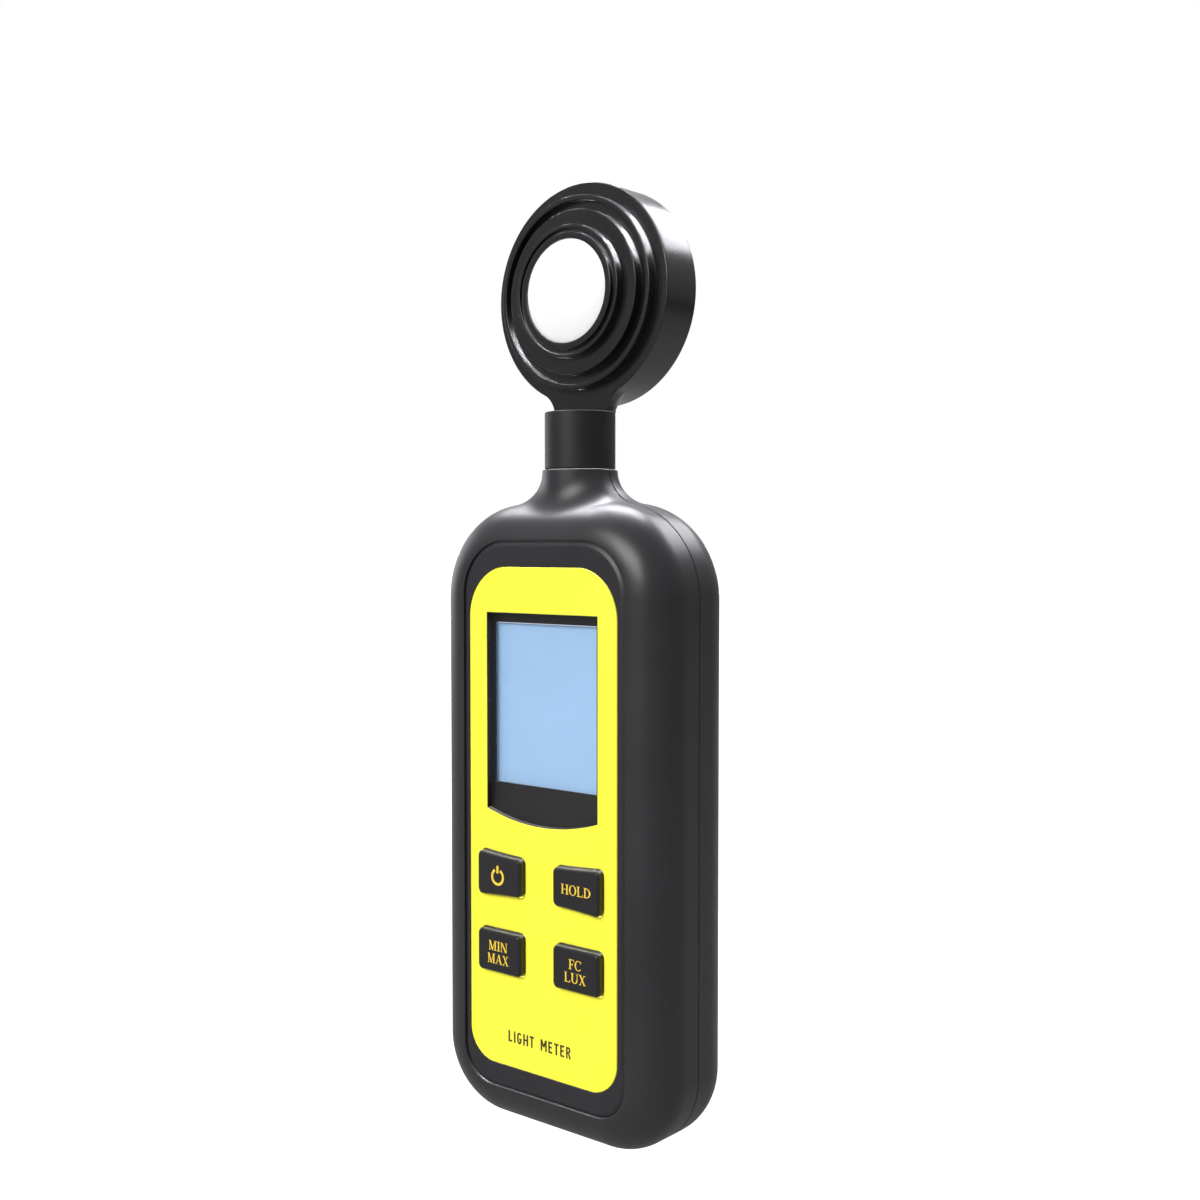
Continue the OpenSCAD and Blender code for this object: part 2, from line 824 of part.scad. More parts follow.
// ---------- Keys ----------

// A key: a cap through the panel, drawn as its first child, and a flange behind the shell that
// keeps it in, drawn as its second
module key_body() {
    slab(depth(-key_proud), depth(key_flange_front) + eps) children(0);
    slab(depth(key_flange_front), depth(key_back)) children(1);
}

module low_key(side) {
    key_body() {
        low_key_2d(side);
        low_key_2d(side, key_flange_w);
    }
}

module high_key(side) {
    key_body() {
        high_key_2d(side);
        high_key_2d(side, key_flange_w);
    }
}

module key_power() color([0.11, 0.11, 0.12]) high_key(-1);
module key_hold() color([0.11, 0.11, 0.12]) high_key(1);
module key_min_max() color([0.11, 0.11, 0.12]) low_key(-1);
module key_units() color([0.11, 0.11, 0.12]) low_key(1);

// ---------- Swivelling head ----------

// Neck with a hollow spigot that turns in the collar; a flange holds it down and a lug stops it
module swivel_stem() color([0.14, 0.14, 0.15]) {
    difference() {
        union() {
            translate([0, 0, neck_z0]) cylinder(r = neck_r, h = neck_z1 - neck_z0);
            translate([0, 0, flange_z1 - eps])
                cylinder(r = spigot_r, h = neck_z0 - flange_z1 + 2 * eps);
            translate([0, 0, flange_z0]) cylinder(r = flange_r, h = flange_z1 - flange_z0);
            ring_wedge(flange_r - over, lug_r, flange_z0, flange_z1, 90, lug_half_deg);
        }
        translate([0, 0, flange_z0 - over])
            cylinder(r = spigot_bore_r, h = neck_z0 - flange_z0 + 2 * over);
        translate([0, 0, cable_room_z]) cylinder(r = cable_room_r, h = cable_room_h);
        block([-tenon_half - tenon_gap, tenon_y - tenon_t / 2 - tenon_gap, tenon_z - tenon_gap - gap],
            [tenon_half + tenon_gap, tenon_y + tenon_t / 2 + tenon_gap, neck_z1 + over]);
        translate([0, 0, friction_z]) rotate_extrude() {
            translate([friction_r, 0]) circle(friction_groove_r);
            translate([friction_r, -friction_groove_r]) square([over, 2 * friction_groove_r]);
        }
    }
}

module friction_ring() color([0.08, 0.08, 0.08]) {
    translate([0, 0, friction_z]) rotate_extrude() translate([friction_r, 0]) circle(friction_wire_r);
}

// The head's disc, and the stem that widens from the round neck up into it
module head_body() {
    // The fillet's circle would only touch the disc; it is raised a little so that they cross
    fillet_x = stem_half + stem_fillet;
    fillet_z = head_z - sqrt(pow(head_r + stem_fillet, 2) - pow(fillet_x, 2)) + side_flare_drop;
    stem_h = (head_z - neck_z1) / 2;
    foot_r = neck_r + stem_fillet + gap;
    foot_z = neck_z1 - 0.4;
    rod_y(0, head_z, head_r, 0, head_d);
    intersection() {
        slab(0, head_d) difference() {
            translate([-stem_top_half, neck_z1]) square([2 * stem_top_half, stem_h]);
            for (s = [-1, 1]) translate([s * fillet_x, fillet_z]) circle(stem_fillet);
        }
        rotate_extrude() difference() {
            translate([0, neck_z1 - over]) square([foot_r + stem_fillet, stem_h]);
            translate([foot_r, foot_z]) circle(stem_fillet);
            translate([foot_r - gap, foot_z - stem_fillet])
                square([2 * stem_fillet, 2 * stem_fillet]);
        }
    }
}

// Revolves a (radius, forward height) shape about the head's axis
module turn_head() {
    translate([0, 0, head_z]) rotate([90, 0, 0]) rotate_extrude() children();
}

module ring_2d(r0, r1, h0, h1) {
    translate([r0, h0]) square([r1 - r0, h1 - h0]);
}

module at_head_screws() {
    for (a = [90, 210, 330])
        translate([head_screw_r * cos(a), 0, head_z + head_screw_r * sin(a)]) children();
}

module head_shell() color([0.1, 0.1, 0.11]) {
    difference() {
        union() {
            difference() {
                head_body();
                rod_y(0, head_z, head_inner_r, head_wall, head_d + over);
            }
            turn_head() {
                ring_2d(step_in_r, step_ring_r, step_root, step_ring_h);
                ring_2d(step_in_r, step_rim_r[0], step_root, step_floor_h);
                ring_2d(step_rim_r[1], step_rim_r[0], step_root, step_rim_h);
            }
            at_head_screws() rod_y(0, 0, head_boss_r, head_wall - eps, head_boss_y);
            block([-tenon_half, tenon_y - tenon_t / 2, tenon_z],
                [tenon_half, tenon_y + tenon_t / 2, neck_z1 + over]);
        }
        turn_head() {
            ring_2d(0, head_hole_r, -head_wall - over, step_ring_h + over);
            ring_2d(0, bezel_ring_r, bezel_seat_h - gap, step_ring_h + over);
        }
        at_head_screws() rod_y(0, 0, head_pilot_r, -head_tip_y, head_boss_y + over);
        translate([0, tenon_y, tenon_z - over])
            cylinder(r = cable_bore_r, h = head_z - head_inner_r - tenon_z + 2 * over);
    }
}

module head_back_cover() color([0.1, 0.1, 0.11]) {
    difference() {
        union() {
            rod_y(0, head_z, head_inner_r - 2 * gap, cover_y, head_d);
            at_head_screws() rod_y(0, 0, head_boss_r, cover_boss_y, cover_y + eps);
        }
        at_head_screws() {
            rod_y(0, 0, head_bore_r, head_seat_y, head_d + over);
            rod_y(0, 0, head_clear_r, cover_boss_y - over, head_d);
        }
    }
}

// Screwed ring with a thin rim, a groove and an inner lip that holds the diffuser
module diffuser_ring() color([0.09, 0.09, 0.1]) {
    difference() {
        turn_head() {
            ring_2d(bezel_rim_r, bezel_ring_r - gap, bezel_seat_h, bezel_rim_h);
            ring_2d(ring_bore_r, bezel_ring_r - gap, bezel_seat_h, bezel_floor_h);
            ring_2d(dome_r + dome_gap, bezel_lip_r, bezel_seat_h, bezel_lip_h);
            ring_2d(ring_skirt_r[0], ring_skirt_r[1], ring_skirt_h, bezel_seat_h + eps);
        }
        turn_head() ring_2d(0, ring_bore_r, ring_skirt_h - over, dome_seat_h);
    }
}

module diffuser_dome() color([0.97, 0.96, 0.96]) {
    sphere_r = (dome_r * dome_r + dome_rise * dome_rise) / (2 * dome_rise);
    centre_h = dome_edge_h + dome_rise - sphere_r;
    difference() {
        union() {
            turn_head() ring_2d(0, dome_foot_r, dome_foot_h[0], dome_foot_h[1]);
            turn_head() ring_2d(0, dome_r, dome_foot_h[1] - gap, dome_edge_h + eps);
            intersection() {
                translate([0, -centre_h, head_z]) sphere(sphere_r);
                turn_head() ring_2d(0, dome_r, dome_edge_h, dome_edge_h + dome_rise + over);
            }
        }
        intersection() {
            translate([0, -centre_h, head_z]) sphere(sphere_r - dome_skin);
            turn_head() ring_2d(0, dome_r - dome_skin, dome_foot_h[0] - over, dome_edge_h + dome_rise + over);
        }
    }
}

module optical_filter() color([0.3, 0.6, 0.45, 0.6]) {
    turn_head() ring_2d(0, filter_r, filter_h[0], filter_h[1]);
}

module photodiode() color([0.25, 0.25, 0.28]) {
    turn_head() ring_2d(0, sensor_can_r, sensor_can_h[0], sensor_can_h[1]);
    turn_head() ring_2d(0, sensor_eye_r, sensor_can_h[1] - gap, sensor_eye_h);
}

module sensor_board() color([0.1, 0.38, 0.2]) {
    difference() {
        rod_y(0, head_z, sensor_board_r, sensor_board_y[0], sensor_board_y[1]);
        at_head_screws() rod_y(0, 0, head_clear_r, sensor_board_y[0] - over, sensor_board_y[1] + over);
        // Notch that lets the cable past the board's lower edge
        block([-board_notch_half, sensor_board_y[0] - over, head_z - sensor_board_r - over],
            [board_notch_half, sensor_board_y[1] + over, board_notch_top]);
    }
}

module head_screws() color([0.7, 0.7, 0.72]) {
    at_head_screws()
        screw(head_seat_y + gap, head_screw_head_r, small_head_h, small_shank_r, head_tip_y);
}

// One straight run of the cable between two points in the plane of the swivel axis
module cable_run(a, b) {
    d = b - a;
    len = norm(d);
    translate(a) rotate([-atan2(d[1], d[2]), 0, 0]) cylinder(r = cable_r, h = len);
    translate(b) sphere(cable_r);
}

module sensor_cable() color([0.15, 0.15, 0.16]) {
    top = head_z - head_inner_r + 1.4;
    corners = [[0, 0, cable_start_z], [0, 0, cable_bend_z[0]], [0, tenon_y, cable_bend_z[1]],
        [0, tenon_y, top], [0, cable_end_y, top + 1.8], [0, cable_end_y, top + 6]];
    for (i = [0:len(corners) - 2]) cable_run(corners[i], corners[i + 1]);
}

// ---------- Assembly ----------

front_shell();
rear_shell();
face_plate();
label_panel();
display_bezel();
display_window();
lcd_glass();
light_guide();
display_holder();
zebra_strip();
main_board();
board_components();
dome_switches();
keypad_membrane();
cable_header();
board_screws();
case_screws();
tripod_insert();
battery_springs();
battery_contacts();
battery_cells();
battery_door();
key_power();
key_hold();
key_min_max();
key_units();
swivel_stem();
friction_ring();
head_shell();
head_back_cover();
diffuser_ring();
diffuser_dome();
optical_filter();
photodiode();
sensor_board();
head_screws();
sensor_cable();
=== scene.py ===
"""Looks of a handheld light meter: smooth shells, plates, keys, lettering, sensor rings and finishes.

Everything is built in millimetres in the frame's own axes and turned into metres when a mesh is made.
"""

from math import acos, asin, atan2, cos, degrees, pi, radians, sin, sqrt, tan

import bmesh
import bpy
import numpy as np
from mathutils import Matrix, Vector
from mathutils.geometry import delaunay_2d_cdt


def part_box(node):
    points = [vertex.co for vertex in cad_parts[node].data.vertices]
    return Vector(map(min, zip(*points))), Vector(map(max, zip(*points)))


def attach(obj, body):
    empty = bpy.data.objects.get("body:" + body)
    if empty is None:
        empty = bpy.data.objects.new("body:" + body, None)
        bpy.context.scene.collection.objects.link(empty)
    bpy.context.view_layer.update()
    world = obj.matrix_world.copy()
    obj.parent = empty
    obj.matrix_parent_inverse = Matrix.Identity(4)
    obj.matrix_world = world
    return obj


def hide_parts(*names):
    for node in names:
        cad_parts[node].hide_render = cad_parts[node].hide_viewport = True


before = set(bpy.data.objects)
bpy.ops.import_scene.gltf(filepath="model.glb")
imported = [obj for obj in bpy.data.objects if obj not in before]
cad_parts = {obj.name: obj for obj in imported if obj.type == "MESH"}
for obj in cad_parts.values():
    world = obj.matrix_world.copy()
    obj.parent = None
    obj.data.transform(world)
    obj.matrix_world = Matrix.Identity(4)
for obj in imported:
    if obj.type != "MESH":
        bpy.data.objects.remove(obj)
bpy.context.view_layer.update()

MM = 0.001


def cad_box(node):
    """Lowest and highest corner of a CAD node, in millimetres."""
    low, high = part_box(node)
    return np.array(low) / MM, np.array(high) / MM


# ---------- Driving sizes, in millimetres ----------

SHELL_LOW, SHELL_HIGH = cad_box("rear_shell")
PLATE_LOW, PLATE_HIGH = cad_box("face_plate")
LABEL_LOW, LABEL_HIGH = cad_box("label_panel")
BEZEL_LOW, BEZEL_HIGH = cad_box("display_bezel")
COVER_LOW, COVER_HIGH = cad_box("head_back_cover")
STEM_LOW, _ = cad_box("swivel_stem")
DOME_LOW, _ = cad_box("diffuser_dome")
_, HEAD_HIGH = cad_box("head_shell")

HALF_W = SHELL_HIGH[0]
HALF_D = SHELL_HIGH[1]
SEAM = SHELL_LOW[1] if SHELL_LOW[1] > 0 else 0.05
COLLAR_TOP = SHELL_HIGH[2]
BODY_H = COLLAR_TOP - 5.7
EDGE_R = 6.9
TOP_R = 16.0
BOTTOM_R = 13.0
COLLAR_R = 6.4
FLARE_R = 6.4
FLARE_AXIS = COLLAR_R + FLARE_R
CORNER_R = 0.12
WALL = 1.8
BORE_R = 4.27
SEAM_BEVEL = 0.16

RECESS_HALF = PLATE_HIGH[0] + 0.25
RECESS_Z0 = PLATE_LOW[2] - 0.25
RECESS_Z1 = PLATE_HIGH[2] + 0.25
RECESS_TOP_R = 9.35
RECESS_BOTTOM_R = 6.4
RECESS_FLOOR = -HALF_D + 1.7
PLATE_FRONT = PLATE_LOW[1]
PLATE_BACK = PLATE_HIGH[1]
PLATE_CHAMFER = (0.42, 1.0)
LABEL_FRONT = LABEL_LOW[1]
LABEL_BACK = LABEL_HIGH[1]
LABEL_TOP_R = 8.5
LABEL_BOTTOM_R = 5.5

WINDOW_HALF = 12.24
WINDOW_TOP = BODY_H - 18.4
WINDOW_ARC_R = 38.5
WINDOW_BOTTOM = WINDOW_TOP - 35.5
VIEW_HALF = WINDOW_HALF - 0.42
VIEW_TOP = WINDOW_TOP - 1.7
VIEW_BOTTOM = WINDOW_TOP - 29.1

KEY_X = 8.53
KEY_HALF = 4.95
KEY_CORNER = 1.0
KEY_GAP = 0.15
LOW_KEY_Z = (26.6, 33.8)
HIGH_KEY_Z = (40.2, 46.6)
KEY_ARC_R = 141.0
KEY_TOP = cad_box("key_hold")[0][1]
KEY_FLANGE_W = 0.8
KEY_FLANGE_Y = (-HALF_D + 3.2, -HALF_D + 4.0)
KEY_BEVEL = 0.42

HEAD_Z = (COVER_LOW[2] + COVER_HIGH[2]) / 2
HEAD_R = HEAD_HIGH[0]
HEAD_D = HEAD_HIGH[1]
HEAD_INNER_R = HEAD_R - 1.8
HEAD_WALL = 1.6
NECK_R = 6.0
NECK_Z0 = COLLAR_TOP + 0.15
NECK_Z1 = NECK_Z0 + 9.55


# ---------- Outlines in the front view, as (x, z) points ----------

def arc(cx, cz, r, start, end, steps):
    """Points on an arc, angles in degrees."""
    angles = np.radians(np.linspace(start, end, steps + 1))
    return np.stack([cx + r * np.cos(angles), cz + r * np.sin(angles)], 1)


def line(start, end, steps):
    t = np.linspace(0, 1, steps + 1)[:, None]
    return np.array(start, float) * (1 - t) + np.array(end, float) * t


def chain(*runs):
    """Joins runs of points that share their end points."""
    return np.concatenate([runs[0]] + [run[1:] for run in runs[1:]])


def mirrored(right):
    """A closed outline from its right half, which starts and ends on x = 0."""
    left = right[-2:0:-1].copy()
    left[:, 0] *= -1
    return np.concatenate([right, left])


def rounded_right(half, z0, z1, rb, rt, arc_steps=12, edge_steps=4, side_steps=4):
    """Right half of a rounded rectangle, from its bottom centre to its top centre."""
    return chain(
        line((0, z0), (half - rb, z0), edge_steps),
        arc(half - rb, z0 + rb, rb, -90, 0, arc_steps),
        line((half, z0 + rb), (half, z1 - rt), side_steps),
        arc(half - rt, z1 - rt, rt, 0, 90, arc_steps),
        line((half - rt, z1), (0, z1), edge_steps))


def rounded(half, z0, z1, rb, rt, grow=0.0, **steps):
    """Rounded rectangle, grown outwards by grow."""
    return mirrored(rounded_right(half + grow, z0 - grow, z1 + grow,
                                  max(rb + grow, 0.02), max(rt + grow, 0.02), **steps))


def plate_outline(grow):
    gap = 0.09
    return rounded(RECESS_HALF - gap, RECESS_Z0 + gap, RECESS_Z1 - gap,
                   RECESS_BOTTOM_R - gap, RECESS_TOP_R - gap, grow, arc_steps=28)


def label_outline(grow):
    return rounded(LABEL_HIGH[0], LABEL_LOW[2], LABEL_HIGH[2], LABEL_BOTTOM_R, LABEL_TOP_R,
                   grow, arc_steps=24)


def window_outline(grow):
    """Opening over the display: square top corners and a shallow arc below."""
    half, top = WINDOW_HALF + grow, WINDOW_TOP + grow
    radius = WINDOW_ARC_R + grow
    side = degrees(asin(half / radius))
    bottom = arc(0, WINDOW_BOTTOM + WINDOW_ARC_R, radius, -90, -90 + side, 16)
    return mirrored(chain(bottom, line(bottom[-1], (half, top), 4), line((half, top), (0, top), 4)))


def key_outline(side, high, grow):
    """Outline of a key. The upper keys' top and bottom edges follow two shallow arcs."""
    z0, z1 = HIGH_KEY_Z if high else LOW_KEY_Z
    points = rounded(KEY_HALF, z0, z1, KEY_CORNER, KEY_CORNER, grow, arc_steps=8, edge_steps=8)
    points[:, 0] += side * KEY_X
    if high:
        share = (points[:, 1] - (z0 - grow)) / (z1 - z0 + 2 * grow)
        points[:, 1] += points[:, 0] ** 2 / (2 * KEY_ARC_R) * (2 * share - 1)
    return points


# ---------- Mesh building ----------

def loft(rings, cap_start=True, cap_end=True):
    """Vertices and faces of a skin through closed rings of points."""
    count, last = len(rings[0]), len(rings) - 1
    faces = [(k + i, k + (i + 1) % count, k + count + (i + 1) % count, k + count + i)
             for k in range(0, last * count, count) for i in range(count)]
    if cap_start:
        faces.append(tuple(range(count))[::-1])
    if cap_end:
        faces.append(tuple(range(last * count, (last + 1) * count)))
    return np.concatenate(rings), faces


def at_depth(outline, y):
    """A front-view outline placed at depth y."""
    return np.stack([outline[:, 0], np.full(len(outline), y), outline[:, 1]], 1)


def stacked(outline, stations):
    """A prism along Y whose outline grows and shrinks: stations are (grow, y) pairs."""
    return loft([at_depth(outline(grow), y) for grow, y in stations])


def round_over(y, r, towards, steps=5):
    """Stations of a rounded edge that ends on a face at depth y; towards is the way the face looks."""
    angles = np.linspace(0, pi / 2, steps + 1)
    return [(-r * (1 - cos(a)), y - towards * r * (1 - sin(a))) for a in angles]


def box(low, high):
    (x0, y0, z0), (x1, y1, z1) = low, high
    ring = np.array([(x0, z0), (x1, z0), (x1, z1), (x0, z1)])
    return loft([at_depth(ring, y) for y in (y0, y1)])


def rod_y(x, z, r, y0, y1, steps=64):
    """A cylinder along Y."""
    circle = arc(x, z, r, 0, 360, steps)[:-1]
    return loft([at_depth(circle, y) for y in (y0, y1)])


def rods(spots, r, y0, y1, steps=32):
    """Cylinders along Y at several (x, z) places, as one shape."""
    return joined(*[rod_y(x, z, r, y0, y1, steps) for x, z in spots])


def rod_z(r, z0, z1):
    """A cylinder about the swivel axis."""
    return lathe_z([(0, z0), (r, z0), (r, z1), (0, z1)])


def turned(profile, place, steps=160):
    """Turns a closed (radius, height) profile about an axis; place(radius, angle, height) gives a point."""
    angles = np.linspace(0, 2 * pi, steps, endpoint=False)
    verts, faces, rows = [], [], []
    for radius, height in profile:
        if radius < 1e-6:
            rows.append([len(verts)] * steps)
            verts.append(place(0.0, 0.0, height))
        else:
            rows.append(list(range(len(verts), len(verts) + steps)))
            verts += [place(radius, a, height) for a in angles]
    for k in range(len(profile)):
        low, high = rows[k], rows[(k + 1) % len(profile)]
        for i in range(steps):
            j = (i + 1) % steps
            corners = [low[i], low[j], high[j], high[i]]
            face = [c for n, c in enumerate(corners) if c != corners[n - 1]]
            if len(set(face)) > 2:
                faces.append(tuple(face))
    return np.array(verts, float), faces


def lathe_z(profile, steps=96):
    return turned(profile, lambda r, a, h: (r * cos(a), r * sin(a), h), steps)


def lathe_head(profile, steps=192):
    """Turns a profile about the head's axis; heights point forwards."""
    return turned(profile, lambda r, a, h: (r * cos(a), -h, HEAD_Z + r * sin(a)), steps)


def softened(profile, steps=3):
    """Rounds each corner of a closed profile. A point may carry its own radius as a third number."""
    result = []
    count = len(profile)
    for i, point in enumerate(profile):
        r = point[2] if len(point) > 2 else CORNER_R
        here, before, after = (np.array(profile[k % count][:2], float) for k in (i, i - 1, i + 1))
        before, after = before - here, after - here
        a, b = np.linalg.norm(before), np.linalg.norm(after)
        half = acos(np.clip(before @ after / a / b, -1, 1)) / 2
        if r <= 0 or here[0] < 1e-6 or not 0.02 <= half <= pi / 2 - 0.02:
            result.append(tuple(here))
            continue
        reach = min(r / tan(half), 0.49 * a, 0.49 * b)
        start, end = here + before / a * reach, here + after / b * reach
        result += [tuple(start * (1 - t) ** 2 + here * 2 * t * (1 - t) + end * t * t)
                   for t in np.linspace(0, 1, steps + 1)]
    return result


def mesh_from(name, verts, faces):
    mesh = bpy.data.meshes.new(name)
    mesh.from_pydata([tuple(v) for v in np.asarray(verts, float) * MM], [], faces)
    return mesh


def tidy_mesh(mesh, merge=0.0):
    """Merges doubled points, drops empty faces and points every face outwards."""
    bm = bmesh.new()
    bm.from_mesh(mesh)
    if merge:
        bmesh.ops.remove_doubles(bm, verts=bm.verts, dist=merge * MM)
        bmesh.ops.dissolve_degenerate(bm, edges=bm.edges, dist=merge * MM * 0.1)
    bmesh.ops.recalc_face_normals(bm, faces=bm.faces)
    bm.to_mesh(mesh)
    bm.free()


def solid(verts, faces, merge=0.0):
    """A loose object from vertices and faces, used to build or cut others."""
    mesh = mesh_from("tool", verts, faces)
    tidy_mesh(mesh, merge)
    made = bpy.data.objects.new("tool", mesh)
    bpy.context.scene.collection.objects.link(made)
    return made


def joined(*shapes):
    """One set of vertices and faces from several."""
    verts, faces, start = [], [], 0
    for v, f in shapes:
        verts.append(np.asarray(v, float))
        faces += [tuple(i + start for i in face) for face in f]
        start += len(v)
    return np.concatenate(verts), faces


def combine(target, shape, operation):
    """Cuts shape out of target, adds it or keeps the shared part. Shape is (vertices, faces) or an object."""
    tool = solid(*shape) if isinstance(shape, tuple) else shape
    modifier = target.modifiers.new("combine", "BOOLEAN")
    modifier.operation = operation
    modifier.solver = "EXACT"
    modifier.object = tool
    depsgraph = bpy.context.evaluated_depsgraph_get()
    mesh = bpy.data.meshes.new_from_object(target.evaluated_get(depsgraph))
    target.modifiers.clear()
    old = target.data
    target.data = mesh
    bpy.data.meshes.remove(old)
    used = tool.data
    bpy.data.objects.remove(tool)
    bpy.data.meshes.remove(used)
    return target


def cut(target, *shapes):
    for shape in shapes:
        combine(target, shape, "DIFFERENCE")
    return target


def add(target, *shapes):
    for shape in shapes:
        combine(target, shape, "UNION")
    return target


def finish_piece(piece, name, body, material, replaced=(), sharp=32, bevel=0.0):
    """Names a piece, shades it, gives it its finish and makes it ride on its body."""
    piece.name = name
    piece.data.name = name
    tidy_mesh(piece.data, 0.002)
    piece.data.materials.clear()
    piece.data.materials.append(material)
    piece.data.polygons.foreach_set("use_smooth", [True] * len(piece.data.polygons))
    piece.data.polygons.foreach_set("material_index", [0] * len(piece.data.polygons))
    piece.data.set_sharp_from_angle(angle=radians(sharp))
    if bevel:
        modifier = piece.modifiers.new("edges", "BEVEL")
        modifier.width = bevel * MM
        modifier.segments = 2
        modifier.limit_method = "ANGLE"
        modifier.angle_limit = radians(40)
    flats = piece.modifiers.new("flats", "WEIGHTED_NORMAL")
    flats.keep_sharp = True
    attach(piece, body)
    if replaced:
        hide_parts(*replaced)
    return piece


# ---------- The body's outer surface ----------

def slab_distance(p):
    """Signed distance to the rounded slab of the body."""
    x, y, z = np.abs(p[:, 0]), np.abs(p[:, 1]), p[:, 2]
    upper = z > BODY_H / 2
    r = np.where(upper, TOP_R, BOTTOM_R)
    qx = x - (HALF_W - r)
    qz = np.where(upper, z - (BODY_H - TOP_R), BOTTOM_R - z)
    outline = np.hypot(np.maximum(qx, 0), np.maximum(qz, 0)) + np.minimum(np.maximum(qx, qz), 0) - r
    a = outline + EDGE_R
    b = y - (HALF_D - EDGE_R)
    return np.hypot(np.maximum(a, 0), np.maximum(b, 0)) + np.minimum(np.maximum(a, b), 0) - EDGE_R


def gradient(field, p):
    """Slope of a distance field at points."""
    step = 1e-4
    return np.stack([(field(p + step * e) - field(p - step * e)) / (2 * step) for e in np.eye(3)], 1)


def fillet_track():
    """Height of the rolling ball's centre round the collar: where it touches both the slab and the collar."""
    around = np.linspace(-pi, pi, 1441)
    x, y = FLARE_AXIS * np.cos(around), FLARE_AXIS * np.sin(around)
    low, high = np.full(len(around), BODY_H - TOP_R), np.full(len(around), BODY_H + 2 * FLARE_R)
    for _ in range(50):
        middle = (low + high) / 2
        outside = slab_distance(np.stack([x, y, middle], 1)) > FLARE_R
        high = np.where(outside, middle, high)
        low = np.where(outside, low, middle)
    return around, (low + high) / 2


TRACK_ANGLE, TRACK_Z = fillet_track()


def ball_centre(angle):
    height = np.interp((angle + pi) % (2 * pi) - pi, TRACK_ANGLE, TRACK_Z)
    return np.stack([FLARE_AXIS * np.cos(angle), FLARE_AXIS * np.sin(angle), height], 1)


def body_distance(p):
    """The slab and the collar, joined by the fillet of a ball rolled between them."""
    a, b = slab_distance(p), np.hypot(p[:, 0], p[:, 1]) - COLLAR_R
    plain = np.where(p[:, 2] > BODY_H - TOP_R, np.minimum(a, b), a)
    near = (p[:, 2] > BODY_H - 8) & (a < FLARE_R + 1) & (b < FLARE_R + 1)
    if not near.any():
        return plain
    q = p[near]
    angle = np.arctan2(q[:, 1], q[:, 0])
    step = 2e-3
    for _ in range(8):
        along = (ball_centre(angle + step) - ball_centre(angle - step)) / (2 * step)
        angle = angle + ((q - ball_centre(angle)) * along).sum(1) / (along ** 2).sum(1)
    centre = ball_centre(angle)
    offset = q - centre
    to_collar = -np.stack([np.cos(angle), np.sin(angle), np.zeros(len(angle))], 1)
    to_slab = -gradient(slab_distance, centre)
    mixed = (to_collar * to_slab).sum(1)
    c, d = (offset * to_collar).sum(1), (offset * to_slab).sum(1)
    inside = (c - mixed * d > 0) & (d - mixed * c > 0)
    plain[near] = np.where(inside, FLARE_R - np.linalg.norm(offset, axis=1), plain[near])
    return plain


def settle(p, free=(1, 1, 1)):
    """Moves points along the gradient until they lie on the body's surface."""
    for _ in range(SETTLE_ROUNDS):
        slope = gradient(body_distance, p) * np.array(free, float)
        p = p - slope * (body_distance(p) / np.maximum((slope ** 2).sum(1), 1e-3))[:, None]
    return p


def outline_with_flare():
    """Right half of the shells' outline, from the bottom centre up to the collar's straight part."""
    cx = HALF_W - TOP_R
    cz = BODY_H - TOP_R
    flare_z = cz + sqrt((TOP_R + FLARE_R) ** 2 - (FLARE_AXIS - cx) ** 2)
    meet = degrees(atan2(flare_z - cz, FLARE_AXIS - cx))
    end = degrees(asin(max(0.0, flare_z - (COLLAR_TOP - 0.35)) / FLARE_R)) - 180
    return chain(
        line((0, 0), (HALF_W - BOTTOM_R, 0), 6),
        arc(HALF_W - BOTTOM_R, BOTTOM_R, BOTTOM_R, -90, 0, 36),
        line((HALF_W, BOTTOM_R), (HALF_W, cz), 16),
        arc(cx, cz, TOP_R, 0, meet, 44),
        arc(FLARE_AXIS, flare_z, FLARE_R, meet - 180, end, 32))


def inner_path(half, z0, z1, rb, rt, top):
    """Where the rows of the skin end: round the recess, then up the middle to the collar."""
    return chain(
        line((0, z0), (half - rb, z0), 6),
        arc(half - rb, z0 + rb, rb, -90, 0, 36),
        line((half, z0 + rb), (half, z1 - rt), 16),
        arc(half - rt, z1 - rt, rt, 0, 90, 44),
        line((half - rt, z1), (0, z1), 14),
        line((0, z1), (0, top), MIDDLE_ROWS))


ROWS = 36
MIDDLE_ROWS = 18
SETTLE_ROUNDS = 14
RIM_ROWS = 5
COLLAR_RIM = 0.3
RECESS_SOFT = 0.14


